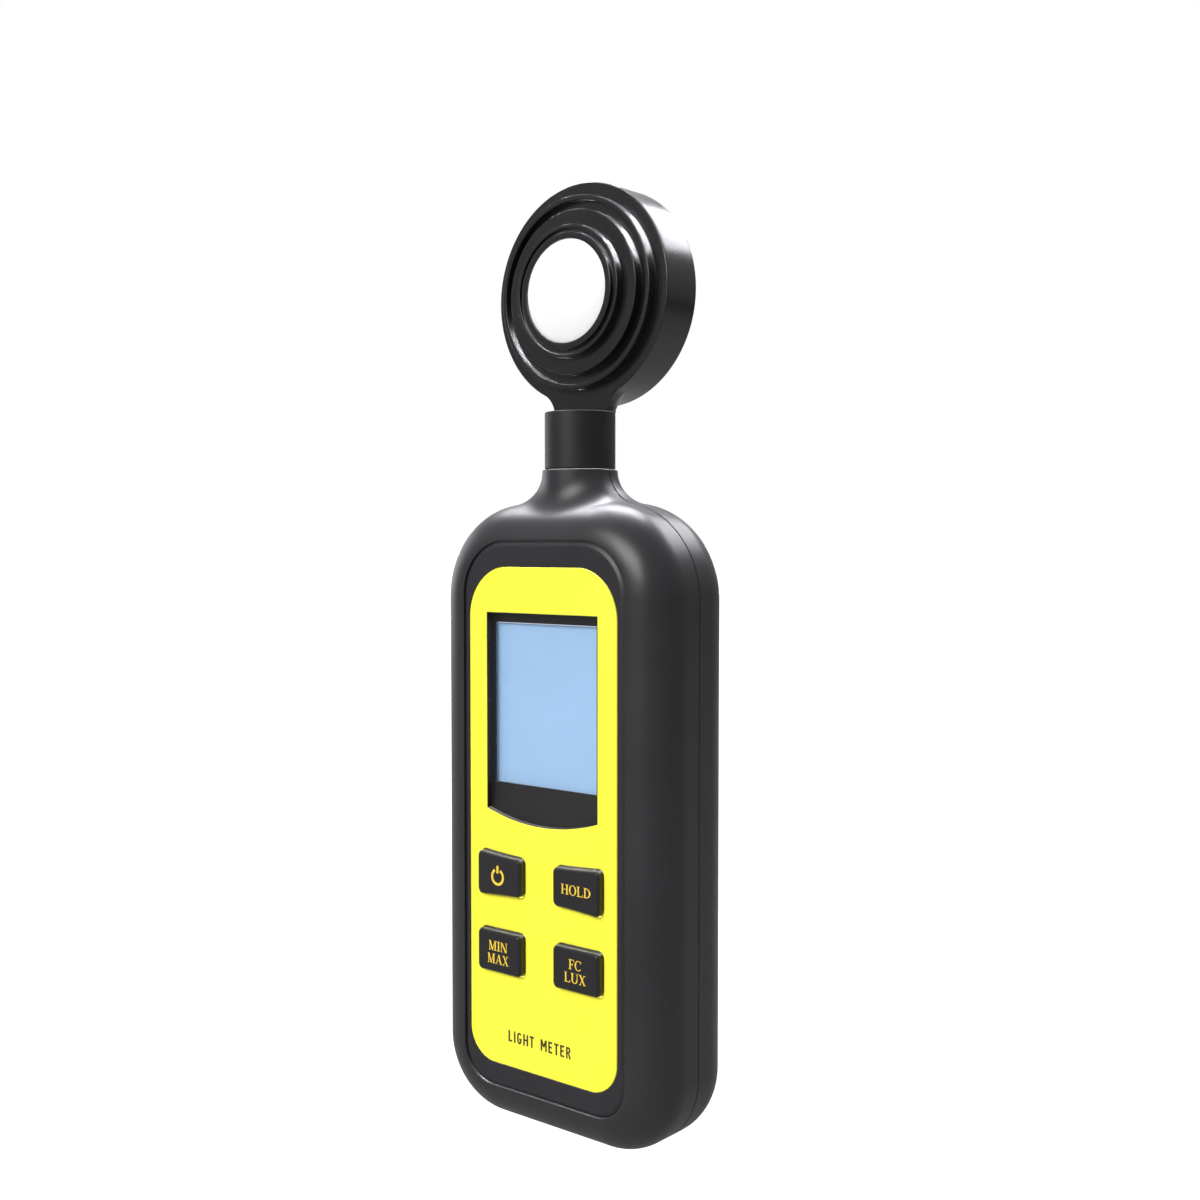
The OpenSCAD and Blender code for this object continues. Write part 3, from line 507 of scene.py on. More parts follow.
def shell_skin(half, z0, z1, rb, rt, seam_y):
    """Right half of a shell's outer skin as a grid of points, from the seam in to the recess rim."""
    outer = outline_with_flare()
    inner = inner_path(half, z0, z1, rb, rt, outer[-1][1])
    count = len(outer)
    angles = np.radians(np.linspace(0, 90, ROWS + 1))
    along = (1 - np.cos(angles))[None, :, None]
    flat = outer[:, None, :] * (1 - along) + inner[:, None, :] * along
    deepest = settle(np.stack([inner[:, 0], np.full(count, -HALF_D), inner[:, 1]], 1), (0, 1, 0))
    y = deepest[:, 1][:, None] * np.sin(angles)[None, :]
    grid = np.stack([flat[..., 0], y, flat[..., 1]], 2)
    grid[:, 0] = settle(grid[:, 0])
    grid[:, 1:-1] = settle(grid[:, 1:-1].reshape(-1, 3)).reshape(count, ROWS - 1, 3)
    grid[:, -1] = deepest
    # The shells meet in a fine V: the seam row is drawn in, and the next row marks where the V starts
    seam = grid[:, 0].copy()
    slope = gradient(body_distance, seam)
    first = seam - slope / np.linalg.norm(slope, axis=1)[:, None] * SEAM_BEVEL
    first[:, 1] = -seam_y
    seam[:, 1] = -(seam_y + SEAM_BEVEL)
    grid = np.concatenate([first[:, None], settle(seam, (1, 0, 1))[:, None], grid[:, 2:]], 1)
    # The collar's straight top with its rounded rim
    extra = []
    for a in np.linspace(0, pi / 2, RIM_ROWS):
        row = grid[-1].copy()
        radius = np.hypot(row[:, 0], row[:, 1])
        share = (radius - COLLAR_RIM * (1 - cos(a))) / radius
        row[:, 0] *= share
        row[2:, 1] *= share[2:]
        row[:, 2] = COLLAR_TOP - COLLAR_RIM * (1 - sin(a))
        extra.append(row)
    grid = np.concatenate([grid, np.array(extra)])
    grid[count - MIDDLE_ROWS - 1:, -1, 0] = 0.0
    return grid


def closed_shell(front, half, z0, z1, rb, rt, seam_y, floor):
    """One shell's outer form as a closed solid: skin, seam face, collar top, and a recess with its floor."""
    grid = shell_skin(half, z0, z1, rb, rt, seam_y)
    rows, cols = grid.shape[:2]
    skin = grid.reshape(-1, 3)
    verts = [skin, skin * (-1, 1, 1)]
    total = 2 * rows * cols
    faces = [(a, a + 1, a + cols + 1, a + cols) for start in (0, rows * cols) for u in range(rows - 1)
             for a in range(start + u * cols, start + u * cols + cols - 1)]
    right = np.arange(rows * cols).reshape(rows, cols)
    left = right + rows * cols
    seam_face = [*right[:, 0], *left[::-1, 0]]
    collar_face = [*right[-1], *left[-1, -2::-1]]
    rim_end = rows - RIM_ROWS - MIDDLE_ROWS
    rim = [*right[:rim_end, -1], *left[rim_end - 2:0:-1, -1]]
    faces += [seam_face, collar_face]
    if floor is not None:
        ring = np.concatenate(verts)[rim]
        outline = ring[:, [0, 2]]
        inward = outline_inward(outline)
        rings = []
        for a in np.linspace(0, pi / 2, 4)[1:]:
            drawn = outline + inward * RECESS_SOFT * sin(a)
            rings.append(np.stack([drawn[:, 0], ring[:, 1] + RECESS_SOFT * (1 - cos(a)), drawn[:, 1]], 1))
        rings.append(rings[-1] * (1, 0, 1) + (0, floor, 0))
        for extra in rings:
            here = list(range(total, total + len(extra)))
            faces += [(rim[k - 1], rim[k], here[k], here[k - 1]) for k in range(len(here))]
            rim = here
            verts.append(extra)
            total += len(extra)
    faces.append(rim)
    points = np.concatenate(verts)
    if not front:
        points[:, 1] *= -1
    return points, [tuple(int(i) for i in face) for face in faces]


def outline_inward(outline):
    """Unit vectors that point into a counter-clockwise outline."""
    ahead = np.roll(outline, -1, 0) - np.roll(outline, 1, 0)
    inward = np.stack([-ahead[:, 1], ahead[:, 0]], 1)
    return inward / np.linalg.norm(inward, axis=1)[:, None]


def cavity(front, inset, edge, depth):
    """The hollow inside a shell: a smaller rounded slab that starts beyond the parting plane."""
    def ring(angle):
        grow = -(inset + edge * (1 - cos(angle)))
        return rounded(HALF_W, 0, BODY_H, BOTTOM_R, TOP_R, grow, arc_steps=24)
    way = -1 if front else 1
    stations = [at_depth(ring(0), -way * 1.0)]
    for a in np.linspace(0, pi / 2, 9):
        stations.append(at_depth(ring(a), way * (depth - edge + edge * sin(a))))
    return loft(stations)


# ---------- Materials ----------

class Nodes:
    """Small helper to write a node tree in few lines."""

    def __init__(self, name, owner=None):
        self.material = owner or bpy.data.materials.new(name)
        self.material.use_nodes = True
        self.tree = self.material.node_tree
        self.shader = self.tree.nodes.get("Principled BSDF")
        self.place = self.new("ShaderNodeTexCoord").outputs["Object"]

    def new(self, kind, **values):
        node = self.tree.nodes.new(kind)
        for key, value in values.items():
            setattr(node, key, value)
        return node

    def feed(self, socket, value):
        """Links or sets one input."""
        if isinstance(value, bpy.types.NodeSocket):
            self.tree.links.new(value, socket)
        else:
            socket.default_value = value

    def put(self, node, **inputs):
        """Sets or links a node's inputs by name; an underscore stands for a space."""
        for key, value in inputs.items():
            self.feed(node.inputs[key.replace("_", " ")], value)
        return node

    def noise(self, per_mm, detail=2.0, roughness=0.5, stretch=(1, 1, 1)):
        mapping = self.put(self.new("ShaderNodeMapping"), Vector=self.place, Scale=stretch)
        return self.put(self.new("ShaderNodeTexNoise"), Vector=mapping.outputs["Vector"],
                        Scale=per_mm / MM, Detail=detail, Roughness=roughness).outputs["Fac"]

    def cells(self, per_mm, feature="F1"):
        return self.put(self.new("ShaderNodeTexVoronoi", feature=feature), Vector=self.place,
                        Scale=per_mm / MM).outputs["Distance"]

    def spread(self, value, low, high, from_low=0.3, from_high=0.7):
        return self.put(self.new("ShaderNodeMapRange"), Value=value, From_Min=from_low, From_Max=from_high,
                        To_Min=low, To_Max=high).outputs["Result"]

    def mix(self, factor, a, b):
        node = self.put(self.new("ShaderNodeMix", data_type="RGBA"), Factor=factor)
        for socket, value in zip([s for s in node.inputs if s.type == "RGBA"], (a, b)):
            self.feed(socket, (*value, 1.0) if isinstance(value, tuple) else value)
        return [s for s in node.outputs if s.type == "RGBA"][0]

    def sum(self, a, b, operation="ADD"):
        node = self.new("ShaderNodeMath", operation=operation)
        self.feed(node.inputs[0], a)
        self.feed(node.inputs[1], b)
        return node.outputs[0]

    def blend(self, kind, factor, a, b):
        """Mixes or adds two shaders."""
        node = self.new(kind)
        sockets = list(node.inputs)
        if factor is not None:
            self.feed(sockets.pop(0), factor)
        self.feed(sockets[0], a)
        self.feed(sockets[1], b)
        return node.outputs[0]

    def finish(self, shader):
        """Sends a shader to the output."""
        output = [node for node in self.tree.nodes if node.type.startswith("OUTPUT")][0]
        self.feed(output.inputs["Surface"], shader)
        return self.material

    def bump(self, height, depth_mm, under=None):
        node = self.put(self.new("ShaderNodeBump"), Height=height, Distance=depth_mm * MM, Strength=1.0)
        if under is not None:
            self.feed(node.inputs["Normal"], under)
        return node.outputs["Normal"]


def darker(colour, share):
    """A colour scaled by a share; above one it gets lighter."""
    return tuple(min(1.0, c * share) for c in colour)


def moulded(name, colour, rough=(0.4, 0.5), grain=0.012, grain_per_mm=5.0, tint=1.25, specular=0.5,
            coat=0.0, fine=0.004):
    """Moulded plastic: a fine spark-eroded grain, faint flow marks, and uneven gloss where it is handled."""
    n = Nodes(name)
    broad = n.noise(0.045, 3.0, 0.6)
    flow = n.noise(0.22, 4.0, 0.55, (1.0, 1.0, 0.35))
    grains = n.noise(grain_per_mm, 3.0, 0.62)
    pits = n.cells(grain_per_mm * 0.7)
    marks = n.spread(n.sum(broad, n.sum(flow, 0.5, "MULTIPLY")), 0.0, 1.0, 0.55, 0.95)
    base = n.mix(n.spread(grains, 0.0, 0.22), n.mix(marks, colour, darker(colour, tint)), darker(colour, 0.8))
    gloss = n.sum(n.spread(broad, *rough), n.spread(grains, -0.03, 0.03))
    n.put(n.shader, Base_Color=base, Roughness=gloss, Normal=n.bump(pits, fine, n.bump(grains, grain)),
          IOR=1.48, Specular_IOR_Level=specular, Coat_Weight=coat, Coat_Roughness=0.12)
    return n.material


def metal(name, colour, rough=(0.22, 0.36), streak=(1, 1, 1)):
    """Plated or turned metal with fine streaks and slight staining."""
    n = Nodes(name)
    streaks = n.noise(3.0, 4.0, 0.6, streak)
    base = n.mix(n.spread(n.noise(0.4, 3.0, 0.5), 0.0, 0.5), colour, darker(colour, 0.72))
    n.put(n.shader, Base_Color=base, Metallic=1.0, Roughness=n.spread(streaks, *rough),
          Normal=n.bump(streaks, 0.004))
    return n.material


def printed_film(name, colour):
    """Matt printed film: even ink with a fine orange-peel surface."""
    n = Nodes(name)
    peel = n.noise(1.6, 3.0, 0.5)
    speck = n.noise(9.0, 2.0, 0.6)
    red, green, blue = colour
    base = n.mix(n.spread(n.noise(0.05, 2.0, 0.5), 0.0, 1.0), colour, (red, green * 0.975, blue * 0.86))
    base = n.mix(n.spread(speck, 0.0, 0.06), base, (red * 0.9, green * 0.88, blue))
    n.put(n.shader, Base_Color=base, Roughness=n.spread(peel, 0.46, 0.58),
          Normal=n.bump(peel, 0.006, n.bump(speck, 0.002)), Specular_IOR_Level=0.25)
    return n.material


def ink(name, colour, glow=0.0):
    """Screen-printed ink with a slightly uneven film; glow adds painted light, a self-lit brightening that no
    lamp gives.
    """
    n = Nodes(name)
    film = n.noise(4.0, 3.0, 0.6)
    base = n.mix(n.spread(film, 0.0, 0.6), colour, darker(colour, 0.84))
    n.put(n.shader, Base_Color=base, Roughness=n.spread(film, 0.38, 0.55), Normal=n.bump(film, 0.005),
          Emission_Color=base, Emission_Strength=glow)
    return n.material


def display_face(name):
    """Reflective display, switched off: pale blue, with a faint weave of rows and columns under a satin
    polariser, and a weak painted glow that lifts it out of its recess's shade.
    """
    n = Nodes(name)
    parts = n.put(n.new("ShaderNodeSeparateXYZ"), Vector=n.place)
    waves = 2 * pi / (0.28 * MM)
    rows, columns = (n.sum(n.sum(parts.outputs[axis], waves, "MULTIPLY"), 0.0, "SINE") for axis in "ZX")
    sparkle = n.noise(8.0, 2.0, 0.6)
    base = n.mix(n.spread(n.noise(0.06, 2.0, 0.5), 0.0, 1.0), (0.352, 0.512, 0.705), (0.325, 0.48, 0.66))
    base = n.mix(n.spread(n.sum(rows, columns), 0.0, 0.05, -2.0, 2.0), base, (0.28, 0.42, 0.58))
    # The emission is a painted glow against the shade of the recess.
    n.put(n.shader, Base_Color=base, Roughness=n.spread(sparkle, 0.3, 0.42), Specular_IOR_Level=0.3,
          Normal=n.bump(sparkle, 0.002), Emission_Color=base, Emission_Strength=0.08)
    return n.material


def clear_sheet(name):
    """Thin clear window: lets light straight through and adds a weak, slightly uneven reflection."""
    n = Nodes(name)
    haze = n.noise(3.0, 3.0, 0.6)
    clear = n.put(n.new("ShaderNodeBsdfTransparent"), Color=(0.97, 0.985, 1.0, 1.0))
    shine = n.put(n.new("ShaderNodeBsdfGlossy"), Color=(1, 1, 1, 1), Roughness=n.spread(haze, 0.08, 0.16))
    fresnel = n.put(n.new("ShaderNodeFresnel"), IOR=1.35)
    share = n.sum(fresnel.outputs[0], 0.35, "MULTIPLY")
    return n.finish(n.blend("ShaderNodeMixShader", share, clear.outputs[0], shine.outputs[0]))


def opal(name):
    """White opal diffuser: light spreads inside it under a satin skin."""
    n = Nodes(name)
    haze = n.noise(1.2, 3.0, 0.5)
    base = n.mix(n.spread(haze, 0.0, 0.5), (0.96, 0.95, 0.955), (0.93, 0.92, 0.93))
    n.put(n.shader, Base_Color=base, Roughness=n.spread(haze, 0.3, 0.4), Normal=n.bump(haze, 0.003),
          Subsurface_Weight=0.35, Subsurface_Scale=0.0015, Specular_IOR_Level=0.4,
          Subsurface_Radius=(1.0, 0.85, 0.85))
    return n.material


def board_mask(name, colour):
    """Solder mask over copper: darker green between tracks, lighter over them."""
    n = Nodes(name)
    track = n.spread(n.cells(0.35, "DISTANCE_TO_EDGE"), 1.0, 0.0, 0.03, 0.06)
    fibres = n.noise(6.0, 3.0, 0.6)
    base = n.mix(track, colour, darker(colour, 2.0))
    base = n.mix(n.spread(fibres, 0.0, 0.25), base, darker(colour, 0.7))
    n.put(n.shader, Base_Color=base, Roughness=n.spread(fibres, 0.24, 0.4),
          Normal=n.bump(track, 0.03, n.bump(fibres, 0.003)))
    return n.material


SHELL = moulded("shell_plastic", (0.0170, 0.0161, 0.0182), (0.33, 0.43), grain=0.007, specular=0.5)
FACE = moulded("face_plate_plastic", (0.0165, 0.015, 0.018), (0.36, 0.46), grain=0.007, specular=0.42)
BLACK = moulded("display_black", (0.014, 0.013, 0.014), (0.45, 0.55), grain=0.006, specular=0.35)
KEYS = moulded("key_plastic", (0.0115, 0.0107, 0.0122), (0.30, 0.40), grain=0.004, grain_per_mm=7,
               specular=0.45)
NECK = moulded("neck_plastic", (0.0095, 0.0092, 0.0098), (0.42, 0.52), grain=0.008, specular=0.35)
HEAD = moulded("head_plastic", (0.0068, 0.0066, 0.0074), (0.2, 0.28), grain=0.0010, grain_per_mm=4,
               specular=0.5, coat=0.2, fine=0.0008)
YELLOW = printed_film("panel_yellow", (1.0, 0.985, 0.067))
# The gold legend ink is real print; its small glow is painted light that brightens the lettering.
GOLD_INK_AND_PAINTED_GLOW = ink("legend_ink_painted_glow", (0.90, 0.61, 0.045), 0.16)
BROWN_INK = ink("panel_ink", (0.055, 0.030, 0.008))
DISPLAY = display_face("display_blue")
# Glowing material for a thin strip over the display's top edge: a painted highlight, not a lamp.
PAINTED_EDGE_HIGHLIGHT = ink("display_edge_painted_highlight", (0.9, 0.93, 1.0), 0.6)
CLEAR = clear_sheet("clear_window")
OPAL = opal("opal_diffuser")
STEEL = metal("zinc_steel", (0.62, 0.62, 0.64))
NICKEL = metal("nickel_spring", (0.72, 0.71, 0.68), (0.14, 0.26))
BRASS = metal("turned_brass", (0.78, 0.56, 0.22), (0.18, 0.32), (1, 0.15, 1))
WHITE = moulded("white_plastic", (0.78, 0.78, 0.76), (0.3, 0.42), grain=0.004, tint=1.06)
RUBBER = moulded("black_rubber", (0.012, 0.012, 0.012), (0.6, 0.75), grain=0.01, specular=0.3)
SILICONE = moulded("grey_silicone", (0.27, 0.27, 0.28), (0.5, 0.64), grain=0.006, tint=1.1)
ZEBRA = moulded("contact_rubber", (0.6, 0.16, 0.2), (0.5, 0.6), grain=0.01)
BOARD = board_mask("solder_mask", (0.012, 0.09, 0.03))
CHIP = moulded("chip_epoxy", (0.014, 0.014, 0.015), (0.5, 0.62), grain=0.012)
CELL = metal("cell_wrap", (0.16, 0.17, 0.2), (0.26, 0.38), (0.2, 0.2, 1))
FILTER = moulded("filter_glass", (0.12, 0.42, 0.24), (0.05, 0.1), grain=0.0)
CABLE = moulded("cable_sleeve", (0.016, 0.016, 0.018), (0.45, 0.6), grain=0.01)


# ---------- Shells ----------

CASE_SCREWS = [(16.6, 92.0), (-16.6, 92.0), (10.0, 5.5), (-10.0, 5.5)]
BOARD_SCREWS = [(s * 20.3, z) for s in (-1, 1) for z in (20, 84)]
BEARING_Z = COLLAR_TOP - 11
KEY_PLACES = (("key_power", -1, True), ("key_hold", 1, True), ("key_min_max", -1, False),
              ("key_units", 1, False))
KEY_HOLE = [(KEY_GAP, -HALF_D - 1), (KEY_GAP, -6)]
HEAD_SCREW_R = 12.6
HEAD_SCREWS = [(HEAD_SCREW_R * cos(radians(a)), HEAD_Z + HEAD_SCREW_R * sin(radians(a)))
               for a in (90, 210, 330)]
MERGE_DISTANCE = 0.004
DISPLAY_FRAME_HALF = 13.0
INSERT_R = 4.6


def key_openings(stations):
    """Cutters round the four keys; stations are (grow, y) pairs beyond the key's own outline."""
    return joined(*[stacked(lambda grow, place=place: key_outline(*place, grow), stations)
                    for _, *place in KEY_PLACES])


def display_hole(gap, extra=0.0):
    """Cutter for the display's opening."""
    half = DISPLAY_FRAME_HALF + gap + extra
    return box((-half, -HALF_D - 1, BEZEL_LOW[2] - gap), (half, -5.0, BEZEL_HIGH[2] + gap))


def neck_bore():
    """Bearing bore for the neck with room below it for the neck's flange."""
    return [rod_z(BORE_R, BEARING_Z - 1, COLLAR_TOP + 2), rod_z(7.5, BEARING_Z - 2, BEARING_Z)]


def add_front_shell():
    """Front shell: recess for the plate, openings for keys and display, bosses for the screws."""
    case_boss_r, board_boss_r, case_pilot_r, board_pilot_r = 2.3, 1.9, 1.12, 0.85
    boss_end, board_seat = -HALF_D + 2.6, -4.05
    skin = closed_shell(True, RECESS_HALF, RECESS_Z0, RECESS_Z1, RECESS_BOTTOM_R, RECESS_TOP_R, 0.0,
                        RECESS_FLOOR)
    piece = solid(*skin, MERGE_DISTANCE)
    cut(piece, cavity(True, WALL, 3.3, HALF_D - 3.1))
    add(piece, joined(rods(CASE_SCREWS, case_boss_r, boss_end, 0),
                      rods(BOARD_SCREWS, board_boss_r, boss_end, board_seat)))
    pilots = joined(rods(CASE_SCREWS, case_pilot_r, -6, 1), rods(BOARD_SCREWS, board_pilot_r, -7.4, 0))
    cut(piece, joined(key_openings(KEY_HOLE), display_hole(0.15, 0.5), pilots), *neck_bore())
    finish_piece(piece, "front_shell_smooth", "housing", SHELL, ["front_shell"])


DOOR_HALF = 17.0
DOOR_TOP = 62.0
DOOR_Y = HALF_D - 1.3
RAIL_HALF = DOOR_HALF + 0.75
BAY_HALF = 16.2
BAY_Z0, BAY_Z1 = 9.4, 58.6
INSERT_Z = 76.0


def rear_form():
    return closed_shell(False, RECESS_HALF, RECESS_Z0 + 0.6, RECESS_Z1 - 0.6, RECESS_BOTTOM_R,
                        RECESS_TOP_R, SEAM, None)


def add_rear_shell():
    """Rear shell: battery bay with rails for its door, screw posts and the boss of the tripod insert."""
    post_r, insert_boss_r, counterbore_r, clearance_r = 3.2, 6.3, 2.3, 1.25
    side_wall, end_wall, bay_floor, back = 2.1, 1.5, -1.8, HALF_D + 1
    inside = HALF_D - 1
    piece = solid(*rear_form(), MERGE_DISTANCE)
    cut(piece, cavity(False, WALL, EDGE_R - WALL, HALF_D - WALL))
    add(piece, box((-BAY_HALF - side_wall, bay_floor - 0.8, BAY_Z0 - end_wall),
                   (BAY_HALF + side_wall, DOOR_Y + 0.3, BAY_Z1 + end_wall)))
    add(piece, box((-13.2, 6.9, 2.9), (13.2, DOOR_Y + 0.2, BAY_Z0)))
    posts = [rod_y(x, z, post_r, SEAM, DOOR_Y - 0.3 if z < DOOR_TOP else inside, 48) for x, z in CASE_SCREWS]
    add(piece, joined(*posts, rod_y(0, INSERT_Z, insert_boss_r, 2.4, inside)))
    cut(piece, box((-BAY_HALF, bay_floor, BAY_Z0), (BAY_HALF, back, BAY_Z1)),
        box((-DOOR_HALF, DOOR_Y, -1), (DOOR_HALF, back, DOOR_TOP)),
        box((-RAIL_HALF, HALF_D - 1.1, -1.2), (RAIL_HALF, HALF_D - 0.45, DOOR_TOP)),
        box((-RAIL_HALF - 0.001, DOOR_Y, -1.4), (RAIL_HALF + 0.001, back + 0.2, BAY_Z0)),
        rods(CASE_SCREWS, counterbore_r, 6.0, back, 48), rods(CASE_SCREWS, clearance_r, -1, 6.5),
        rod_y(0, INSERT_Z, INSERT_R + 0.05, HALF_D - 6.65, back, 96), *neck_bore())
    finish_piece(piece, "rear_shell_smooth", "housing", SHELL, ["rear_shell"])


def add_battery_door():
    """Sliding door: its back follows the rear shell's surface; ridged thumb grip and a small arrow."""
    gap = 0.1
    front, back = DOOR_Y + 0.05, HALF_D + 1
    top, wide, rail_half = DOOR_TOP - gap, DOOR_HALF - gap, RAIL_HALF - gap
    piece, foot_piece = solid(*rear_form(), MERGE_DISTANCE), solid(*rear_form(), MERGE_DISTANCE)
    combine(piece, box((-wide, front, -1), (wide, back, top)), "INTERSECT")
    combine(foot_piece, box((-rail_half, front, -1), (rail_half, back, BAY_Z0 - gap)), "INTERSECT")
    rail = box((-rail_half, HALF_D - 1.05, BAY_Z0 - 1.0), (rail_half, HALF_D - 0.5, top))
    add(piece, foot_piece, rail)
    grooves, groove_half, groove_width, pitch, lowest = [], 7, 0.9, 1.8, 49
    for z in (lowest + pitch * i for i in range(5)):
        rings = []
        for grow, y in ((0, HALF_D - 0.4), (0, HALF_D - 0.15), (0.15, HALF_D + 0.05)):
            x, low, high = groove_half + grow, z - grow, z + groove_width + grow
            rings.append(at_depth(np.array([(-x, low), (x, low), (x, high), (-x, high)]), y))
        grooves.append(loft(rings))
    arrow = np.array([(-2.6, 46.4), (0.0, 43.4), (2.6, 46.4)])
    cut(piece, joined(*grooves), loft([at_depth(arrow, HALF_D - 0.25), at_depth(arrow, HALF_D + 0.5)]))
    finish_piece(piece, "battery_door_smooth", "battery_door", SHELL, ["battery_door"], bevel=0.08)


# ---------- Face plate, panel and display ----------

def add_face_plate():
    drop, reach = PLATE_CHAMFER
    stations = [(0, PLATE_BACK), (0, PLATE_FRONT + drop + 0.06), (-0.03, PLATE_FRONT + drop),
                (-reach * 0.45, PLATE_FRONT + drop * 0.42), (-reach * 0.78, PLATE_FRONT + drop * 0.1),
                (-reach, PLATE_FRONT)]
    piece = solid(*stacked(plate_outline, stations))
    display = display_hole(0.1)
    cut(piece, stacked(label_outline, [(0.12, PLATE_FRONT - 1), (0.12, LABEL_BACK + 0.05)]),
        joined(key_openings(KEY_HOLE), display))
    finish_piece(piece, "face_plate_bevelled", "housing", FACE, ["face_plate"])


def add_label_panel():
    piece = solid(*stacked(label_outline, [(0, LABEL_BACK)] + round_over(LABEL_FRONT, 0.12, -1, 4)))
    flare = [(0, LABEL_BACK + 1)]
    flare += [(grow, LABEL_FRONT + y) for grow, y in ((0, 0.1), (0.03, 0.04), (0.1, -0.03), (0.1, -1))]
    keys = key_openings([(grow + KEY_GAP, y) for grow, y in flare])
    cut(piece, joined(stacked(window_outline, flare), keys))
    finish_piece(piece, "label_panel_trimmed", "housing", YELLOW, ["label_panel"])


def add_display_bezel():
    """Dark frame behind the panel; its sides and its chin slope down to the display and meet in mitres."""
    front, back = BEZEL_LOW[1], BEZEL_HIGH[1]

    def ring(size, grow, corner, y):
        half, low, high = size
        return at_depth(rounded(half + grow, low - grow, high + grow, corner, corner,
                                arc_steps=3, edge_steps=1, side_steps=1), y)
    outer = (DISPLAY_FRAME_HALF, BEZEL_LOW[2], BEZEL_HIGH[2])
    opening = (WINDOW_HALF, BEZEL_LOW[2] + 0.6, WINDOW_TOP)
    view = (VIEW_HALF, VIEW_BOTTOM, VIEW_TOP)
    rings = [ring(outer, 0, 0.4, back), ring(outer, 0, 0.4, front + 0.1), ring(outer, -0.1, 0.3, front),
             ring(opening, 0.04, 0.06, front), ring(opening, 0, 0.06, front + 0.05),
             ring(view, 0, 0.06, back - 0.4), ring(view, 0, 0.06, back - 0.05), ring(view, 0.05, 0.08, back)]
    # A thin dark lining hides the cut edge of the yellow panel
    corners = ((-0.01, LABEL_FRONT), (-0.01, LABEL_BACK), (-0.14, LABEL_BACK), (-0.14, LABEL_FRONT))
    lining = [at_depth(window_outline(grow), y + 0.03) for grow, y in corners]
    shapes = [loft(run + run[:1], False, False) for run in (rings, lining)]
    piece = solid(*joined(*shapes), 0.001)
    finish_piece(piece, "display_bezel_mitred", "housing", BLACK, ["display_bezel"], 20)


def add_display():
    low, high = cad_box("lcd_glass")
    face = lambda grow: rounded(high[0], 55.5, high[2], 0.3, 0.3, grow, arc_steps=4)
    glass = solid(*stacked(face, [(0, high[1]), (0, low[1] + 0.08), (-0.08, low[1])]))
    finish_piece(glass, "display_glass", "housing", DISPLAY, ["lcd_glass"])
    start, end = cad_box("display_window")
    cover = rounded(end[0], start[2], end[2], 0.6, 0.6, arc_steps=6)
    pane = solid(*loft([at_depth(cover, end[1]), at_depth(cover, start[1] + 0.06),
                        at_depth(cover * (0.997, 1.0), start[1])]))
    finish_piece(pane, "display_window_clear", "housing", CLEAR, ["display_window"])
    # A thin strip along the display's top edge glows with a painted highlight.
    reach, y = VIEW_HALF + 0.1, low[1]
    edge = solid(*box((-reach, y - 0.02, VIEW_TOP - 0.16), (reach, y + 0.02, VIEW_TOP + 0.4)))
    finish_piece(edge, "display_highlight_strip", "housing", PAINTED_EDGE_HIGHLIGHT)


# ---------- Keys and lettering ----------

def add_key(name, side, high):
    outline = lambda grow: key_outline(side, high, grow)
    flange, back = KEY_FLANGE_Y
    wide, soft = KEY_FLANGE_W, 0.1
    stations = [(wide - soft, back), (wide, back - soft), (wide, flange + soft), (wide - soft, flange),
                (0, flange)]
    stations += [(-KEY_BEVEL * inwards, KEY_TOP + KEY_BEVEL * down)
                 for inwards, down in ((0, 1), (0.12, 0.72), (0.72, 0.12), (1, 0))]
    piece = solid(*stacked(outline, stations))
    finish_piece(piece, name + "_cap", name, KEYS, [name], sharp=28)


def add_keys():
    for name, side, high in KEY_PLACES:
        add_key(name, side, high)


# Lettering is drawn with strokes in a box one unit high
THICK, THIN, FOOT = 0.15, 0.06, 0.10
INK_PROUD = 0.025
INK_LIFT = 0.005
CAP_HEIGHT = 1.62


def bar(x0, z0, x1, z1, width):
    """A straight stroke; upright strokes keep level ends."""
    half = width / 2
    if abs(z1 - z0) > abs(x1 - x0) * 0.6:
        return [[(x0 - half, z0), (x0 + half, z0), (x1 + half, z1), (x1 - half, z1)]]
    return [[(x0, z0 - half), (x1, z1 - half), (x1, z1 + half), (x0, z0 + half)]]


def bowl(cx, cz, rx, rz, side, level, start, end, steps=28):
    """A curved stroke that is side wide at its sides and level wide at its top and bottom."""
    angles = np.radians(np.linspace(start, end, steps + 1))
    outer, inner = ([(cx + a * cos(t), cz + b * sin(t)) for t in angles]
                    for a, b in ((rx, rz), (rx - side, rz - level)))
    return [[outer[i], outer[i + 1], inner[i + 1], inner[i]] for i in range(steps)]


def foot(x, z, stem=THICK):
    """A serif at the end of a stem."""
    half, reach = stem / 2 + 0.05, stem / 2 + FOOT
    inner = 0.055 if z == 0 else 0.945
    middle = (z + inner) / 2
    return [[(x - reach, z), (x + reach, z), (x + reach, middle), (x - reach, middle)],
            [(x - half, inner), (x + half, inner), (x + reach, z), (x - reach, z)]]


def stem(x, width=THICK):
    return bar(x, 0, x, 1, width) + foot(x, 0, width) + foot(x, 1, width)


